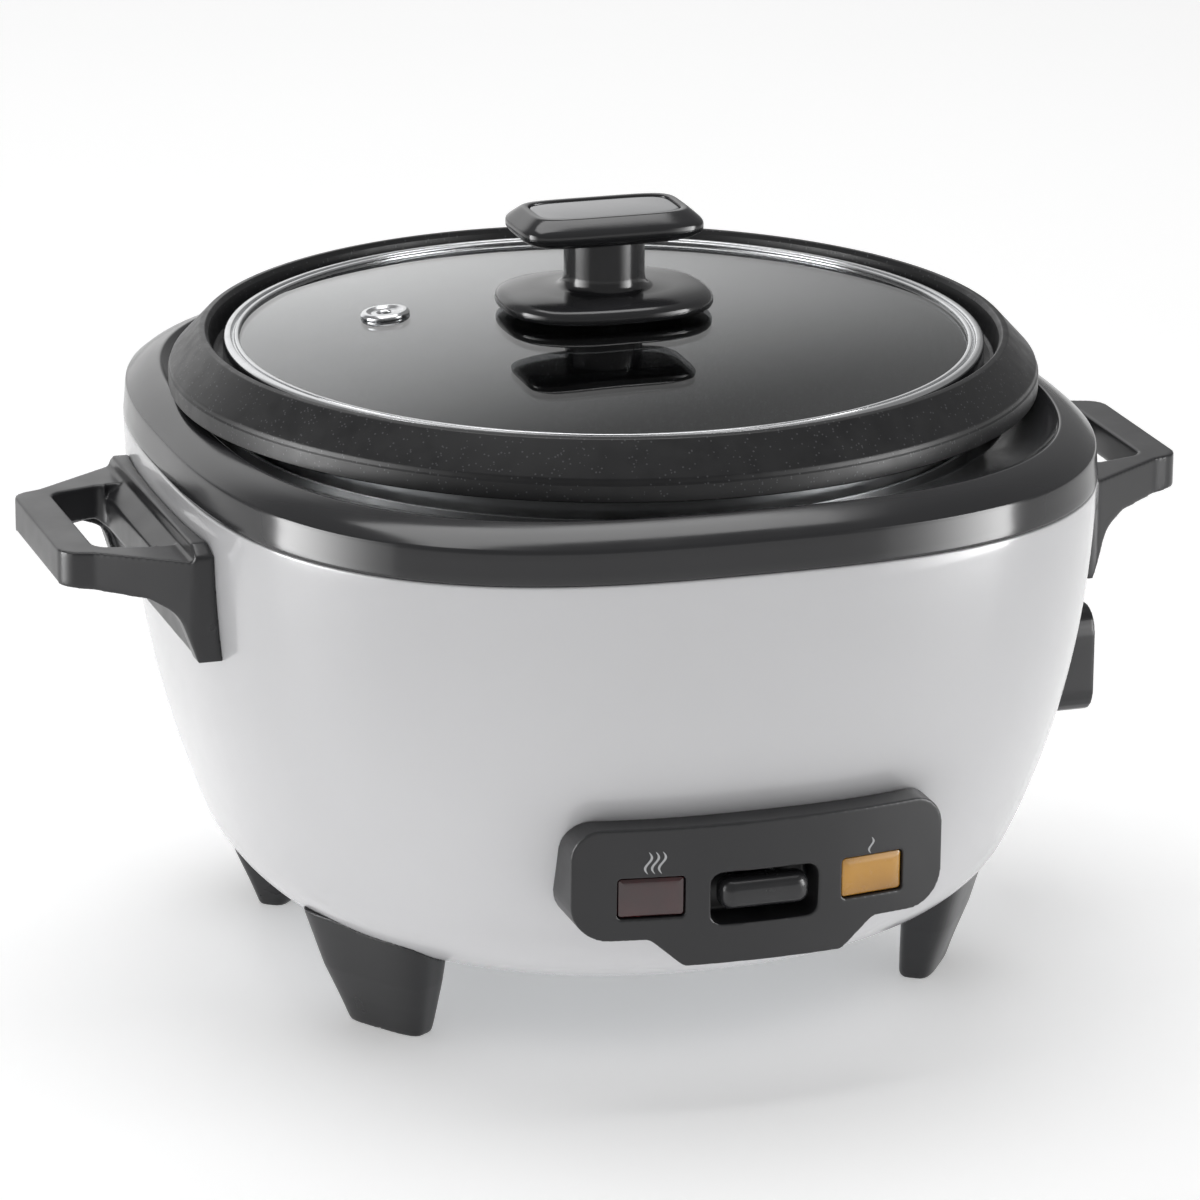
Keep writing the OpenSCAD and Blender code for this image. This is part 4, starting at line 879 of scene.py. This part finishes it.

# %% [markdown]
# ## Bowl
# The bowl is pressed from thick aluminium and coated. It hangs by its rim: a ledge for the lid, a low
# lip, and a wide cone that rolls over to a short upright edge. It is turned from one closed profile,
# with a real radius at each corner. The dark coat also runs 22 mm down the outside under the rim: that
# band is painted shade for the gap between rim and collar. Below it the outside is bare spun metal.

# %% Build the bowl
BOWL_R = 109
BOWL_T = 2
bowl_profile = filleted([
    (0.01, BOWL_Z, 0), (BOWL_R + BOWL_T, BOWL_Z, 20), (BOWL_R + BOWL_T, LEDGE_Z - 3, 1),
    (118.6, LEDGE_Z - 2, 1.5), (121.3, LIP_Z - 3.2, 1.0), (RIM_R - 2.2, LEDGE_Z - 3.4, 1),
    (RIM_R - 1.4, LEDGE_Z - 5, 1),
    (RIM_R - 1.4, LEDGE_Z - 8, 0), (RIM_R, LEDGE_Z - 8, 0.4), (RIM_R, LEDGE_Z - 3.0, 0.5),
    (RIM_R - 0.35, LEDGE_Z - 2.4, 0.4), (RIM_R - 0.6, LEDGE_Z - 1.2, 1.6), (122.2, LIP_Z - 0.3, 0.9),
    (120.3, LIP_Z, 0.6), (119.4, LIP_Z - 1.4, 0.8), (118.2, LEDGE_Z + 0.5, 0.8), (117, LEDGE_Z, 0.5),
    (BOWL_R, LEDGE_Z, 0.8), (BOWL_R, BOWL_Z + BOWL_T, 18), (0.01, BOWL_Z + BOWL_T, 0)], 8)
bowl = turned("bowl_pressing", bowl_profile)
finish_piece(bowl, "bowl", "non_stick_coating", ["bowl"])
bowl.data.materials.append(MATERIALS["liner_aluminium"])
for face in bowl.data.polygons:
    centre = face.center / MM
    reach = math.hypot(centre.x, centre.y)
    # Painted shade: the outside keeps the dark coat down to 22 mm below the ledge, for the shade in the gap
    # under the rim; only the faces lower down turn bare.
    outer_wall = reach > BOWL_R + 1 and centre.z < LEDGE_Z - 22
    if outer_wall or centre.z < BOWL_Z + 1 or (centre.z < BOWL_Z + 20 and face.normal.z < -0.05):
        face.material_index = 1
print("bowl mesh:", len(bowl.data.polygons), "faces")

# %% [markdown]
# ## Lid
# The lid's glass is a shallow dome with a hole for the knob's screw. The steel ring is rolled round its
# edge: a full bead outside, a groove, and a thin bead that presses on the glass. Both are turned. The
# glass is a closed solid of real thickness, because light has to enter and leave it as in real glass.

# %% Build the glass and its ring
GLASS_T = 4
DOME_H = 9.4
GLASS_R = LID_R - 1.2
DOME_R = (GLASS_R ** 2 + DOME_H ** 2) / (2 * DOME_H)


def dome(radius):
    """Height of the glass's upper face at a distance from its middle."""
    return GLASS_TOP - DOME_R + math.sqrt(DOME_R ** 2 - radius ** 2)


GLASS_STEPS = 40
HOLE = 3.5
radii = [HOLE + (GLASS_R - HOLE) * i / GLASS_STEPS for i in range(GLASS_STEPS + 1)]
glass_profile = [(r, dome(r)) for r in radii] + [(r, dome(r) - GLASS_T) for r in radii[::-1]]
glass = turned("lid_glass_dome", glass_profile, crisp=50)
finish_piece(glass, "lid", "lid_glass", ["lid_glass"])

glass_low = dome(GLASS_R) - GLASS_T
ring_top = box_mm("lid_ring")[1].z
ring_profile = filleted([
    (110.2, LEDGE_Z, 0.3), (LID_R - 0.6, LEDGE_Z, 0.6), (LID_R, LEDGE_Z + 1, 0.6), (LID_R, ring_top, 1.3),
    (LID_R - 2.6, ring_top, 1.2), (LID_R - 2.7, ring_top - 0.9, 0.3), (LID_R - 3.4, ring_top - 0.9, 0.2),
    (LID_R - 3.5, ring_top - 0.1, 0.4), (110.1, ring_top - 0.2, 0.5), (110.1, dome(110.1) + 0.02, 0),
    (GLASS_R + 0.05, dome(GLASS_R) + 0.02, 0), (GLASS_R + 0.05, glass_low - 0.02, 0),
    (110.2, dome(110.2) - GLASS_T - 0.02, 0)], 6)
ring = turned("lid_ring_rolled", ring_profile, crisp=50)
finish_piece(ring, "lid", "ring_steel", ["lid_ring"])
print("lid ring", round(LID_R * 2), "mm across")

# %% [markdown]
# ## Steam eyelet
# A pressed steel eyelet lines the steam hole in the glass. It stands square to the dome, so its profile
# is turned about the dome's own normal at that place.

# %% Build the steam eyelet
VENT_ANGLE = math.radians(163)
VENT_REACH = 66
tilt = math.asin(VENT_REACH / DOME_R)
vent_place = (Matrix.Rotation(VENT_ANGLE, 4, "Z") @ Matrix.Translation((VENT_REACH, 0, dome(VENT_REACH)))
              @ Matrix.Rotation(tilt, 4, "Y"))
vent_profile = filleted([
    (1.9, -5.4, 0.2), (6.1, -5.4, 0.4), (6.1, -4.2, 0.4), (4.6, -4.2, 0.2), (4.6, 0.05, 0), (7.5, 0.05, 0.1),
    (7.5, 0.9, 0.5), (6.7, 1.6, 0.6), (5.6, 1.65, 0.4), (4.2, 0.95, 0.8), (2.6, 1.1, 0.6),
    (1.9, 0.7, 0.4)], 5)
vent = turned("steam_eyelet", vent_profile, 96, place=vent_place)
finish_piece(vent, "lid", "ring_steel", ["steam_vent"])

# %% [markdown]
# ## Knob
# The knob has a wide foot on the glass, a round stem, and a flat grip whose top face is framed by a
# chamfer with a glossy inset. Foot and grip are lofts between superellipses and circles. Each step of a
# few tenths of a millimetre shapes one edge radius.

# %% Build the knob
skirt_z = box_mm("knob_base")[0].z
stem_z = box_mm("knob_base")[1].z
skirt_l = box_mm("knob_base")[1].x
skirt_d = box_mm("knob_base")[1].y
grip_l = box_mm("knob_grip")[1].x
grip_d = box_mm("knob_grip")[1].y
grip_z = box_mm("knob_grip")[0].z
STEM_R = 12.25
BORE_R = 2.56
rings = [plan(BORE_R, BORE_R, 2, skirt_z)]
for inset, rise in ((2.2, 0.0), (1.0, 0.12), (0.35, 0.5), (0.05, 1.2), (0, 1.9), (0.12, 2.7), (0.5, 3.5),
                    (1.1, 4.1), (1.9, 4.55), (3.2, 4.9), (5, 5.25), (8, 5.6), (11, 5.8)):
    rings.append(plan(skirt_l - inset, skirt_d - inset, 2.6, skirt_z + rise))
for radius, rise in ((15.0, 5.9), (13.9, 6.1), (13.2, 6.6), (12.7, 7.4), (12.4, 8.6), (STEM_R, 10)):
    rings.append(plan(radius, radius, 2, skirt_z + rise))
rings.append(plan(STEM_R, STEM_R, 2, stem_z - 0.1))
rings.append(plan(BORE_R, BORE_R, 2, stem_z - 0.1))
knob_base = loft("knob_foot", rings, looped=True, crisp=50)
finish_piece(knob_base, "lid", "charcoal_plastic", ["knob_base"])

rings = []
for inset, rise, square in ((9, 0.0, 3.6), (5, 0.0, 3.8), (3.8, 0.1, 4), (2.7, 0.55, 4.2),
                            (1.4, 1.4, 4.4), (0.6, 2.1, 4.7), (0.15, 2.8, 5), (0, 3.5, 5),
                            (0, 4.6, 5), (0.12, 5.2, 5), (0.5, 5.8, 5),
                            (1.1, 6.4, 5), (2.6, 7.7, 5), (3.9, 8.75, 5), (4.3, 8.95, 5), (4.7, 9.0, 5),
                            (5.7, 9.0, 5), (6.05, 8.9, 5), (6.2, 8.6, 5), (6.25, 7.8, 5)):
    rings.append(plan(grip_l - inset, grip_d - inset, square, grip_z + rise))
knob_grip = loft("knob_handle", rings, crisp=35)
finish_piece(knob_grip, "lid", "charcoal_plastic", ["knob_grip"])

rings = []
for inset, rise in ((6.5, 7.82), (6.5, 8.25), (6.6, 8.45), (6.9, 8.55), (7.6, 8.6)):
    rings.append(plan(grip_l - inset, grip_d - inset, 5, grip_z + rise))
inset_plate = loft("knob_inlay", rings, crisp=60)
# Its lighter grey finish is painted top light on the dark plastic.
finish_piece(inset_plate, "lid", "knob_inset_plastic", ["knob_inset"])
print("knob grip", round(grip_l * 2), "x", round(grip_d * 2), "mm")

# %% [markdown]
# ## Parts kept from the CAD model
# Screws, springs, switch, element, wires and brackets already have their real shape. They keep it and
# get a real finish, and smooth shading with crisp edges.

# %% Dress the kept nodes
KEPT = {
    "base_plate": "galvanised_steel", "handle_screws": "screw_steel", "foot_screws": "screw_steel",
    "panel_screws": "screw_steel", "cook_lamp": "lamp_glass", "warm_lamp": "lamp_glass",
    "lever_arm": "galvanised_steel", "lever_bracket": "galvanised_steel", "lever_pin": "screw_steel",
    "inlet_pins": "contact_brass", "inlet_screws": "screw_steel", "inner_liner": "liner_aluminium",
    "heating_plate": "cast_aluminium", "heating_element": "element_steel",
    "plate_pillars": "galvanised_steel", "pillar_screws": "screw_steel", "sensor_cap": "liner_aluminium",
    "sensor_ferrite": "ferrite", "sensor_spring": "spring_steel", "sensor_bracket": "galvanised_steel",
    "magnet_ring": "ferrite", "magnet_rod": "screw_steel", "magnet_spring": "spring_steel",
    "microswitch": "black_plastic", "switch_plunger": "red_plastic", "switch_bracket": "galvanised_steel",
    "keep_warm_thermostat": "black_plastic", "thermal_fuse": "sleeve_white", "live_wire": "wire_brown",
    "neutral_wire": "wire_blue", "heater_wire": "sleeve_white", "knob_screw": "screw_steel",
    "knob_washer": "silicone",
}
for node, slot_name in KEPT.items():
    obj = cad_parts[node]
    obj.data.materials.clear()
    obj.data.materials.append(MATERIALS[slot_name])
    smooth_shade(obj.data, 30)
print(len(KEPT), "nodes kept")

# %% [markdown]
# ## Studio
# Glossy white enamel and dark plastic mostly show what stands round them. The floor is a pale light
# table: it glows a little, which fills the shadow under the body. A soft glow low behind the object
# gives the glass its fade from light to dark. Two upright boxes at the sides are seen only as
# reflections, so they draw the long highlights on the collar and the rim without flattening the body.
# A wide box overhead lights the rest.

# %% Build the floor and the sky
material, tree, shader, place = new_material("pale_light_table", Roughness=0.6, Specular_IOR_Level=0.2,
                                             Emission_Color=linear("#ffffff"), Emission_Strength=0.32)
vary(tree, shader, place, "#f4f4f4", "#f7f7f7", 400)
FLOOR_HALF = 12000
floor = add_mesh("floor", [(-FLOOR_HALF, -FLOOR_HALF, 0), (FLOOR_HALF, -FLOOR_HALF, 0),
                           (FLOOR_HALF, FLOOR_HALF, 0), (-FLOOR_HALF, FLOOR_HALF, 0)], [(0, 1, 2, 3)])
floor.data.materials.append(material)

SKY_LEVEL = 0.30
GLOW_LEVEL = 0.95
GLOW_AZIMUTH = math.radians(95)
GLOW_HEIGHT = math.radians(12)
GLOW_CORE = math.radians(15)
GLOW_EDGE = math.radians(32)
GLOW_TOWARD = (math.cos(GLOW_HEIGHT) * math.cos(GLOW_AZIMUTH),
               math.cos(GLOW_HEIGHT) * math.sin(GLOW_AZIMUTH), math.sin(GLOW_HEIGHT))
world = bpy.data.worlds.new("studio")
world.use_nodes = True
bpy.context.scene.world = world
sky = world.node_tree
direction = add_node(sky, "ShaderNodeTexCoord").outputs["Generated"]
toward_glow = add_node(sky, "ShaderNodeVectorMath", {"operation": "DOT_PRODUCT", 1: GLOW_TOWARD},
                       {0: direction}).outputs["Value"]
glow = add_node(sky, "ShaderNodeMapRange", {
    "interpolation_type": "SMOOTHSTEP", "From Min": math.cos(GLOW_EDGE), "From Max": math.cos(GLOW_CORE),
    "To Min": SKY_LEVEL, "To Max": SKY_LEVEL + GLOW_LEVEL}, {"Value": toward_glow})
sky.links.new(glow.outputs[0], sky.nodes["Background"].inputs["Strength"])
sky.nodes["Background"].inputs["Color"].default_value = (1, 1, 1, 1)


# %% Build the lights
def soft_box(name, azimuth, distance, low, high, width, radiance, fade=None):
    """Upright rectangular light round the object: azimuth in degrees from +X, sizes in metres."""
    light = bpy.data.lights.new(name, "AREA")
    light.shape = "RECTANGLE"
    light.size = width
    light.size_y = high - low
    light.energy = radiance * math.pi * width * (high - low)
    light.use_nodes = True
    if fade:
        tree = light.node_tree
        across = add_node(tree, "ShaderNodeNewGeometry").outputs["Parametric"]
        share = add_node(tree, "ShaderNodeSeparateXYZ", links={0: across}).outputs[0]
        span = add_node(tree, "ShaderNodeMapRange", {"interpolation_type": "SMOOTHSTEP", "To Min": fade[0],
                                                     "To Max": fade[1]}, {"Value": share})
        tree.links.new(span.outputs[0], tree.nodes["Emission"].inputs["Strength"])
    obj = bpy.data.objects.new(name, light)
    turn = math.radians(azimuth)
    obj.location = (distance * math.cos(turn), distance * math.sin(turn), (low + high) / 2)
    aim = Vector((0, 0, (low + high) / 2)) - obj.location
    obj.rotation_euler = aim.to_track_quat("-Z", "Y").to_euler()
    obj.visible_camera = False
    bpy.context.scene.collection.objects.link(obj)
    return obj


for box_light in (soft_box("left_box", -172, 0.6, 0.0, 0.42, 0.5, 8, (1.5, 0.1)),
                  soft_box("right_box", -46, 0.6, 0.0, 0.42, 0.36, 8, (0.1, 1.5))):
    box_light.visible_diffuse = False
top_box = soft_box("top_box", 90, 0.4, 2.0, 3.4, 1.8, 3.4)
top_box.location.z = 2.3
top_box.rotation_euler = (0, 0, 0)
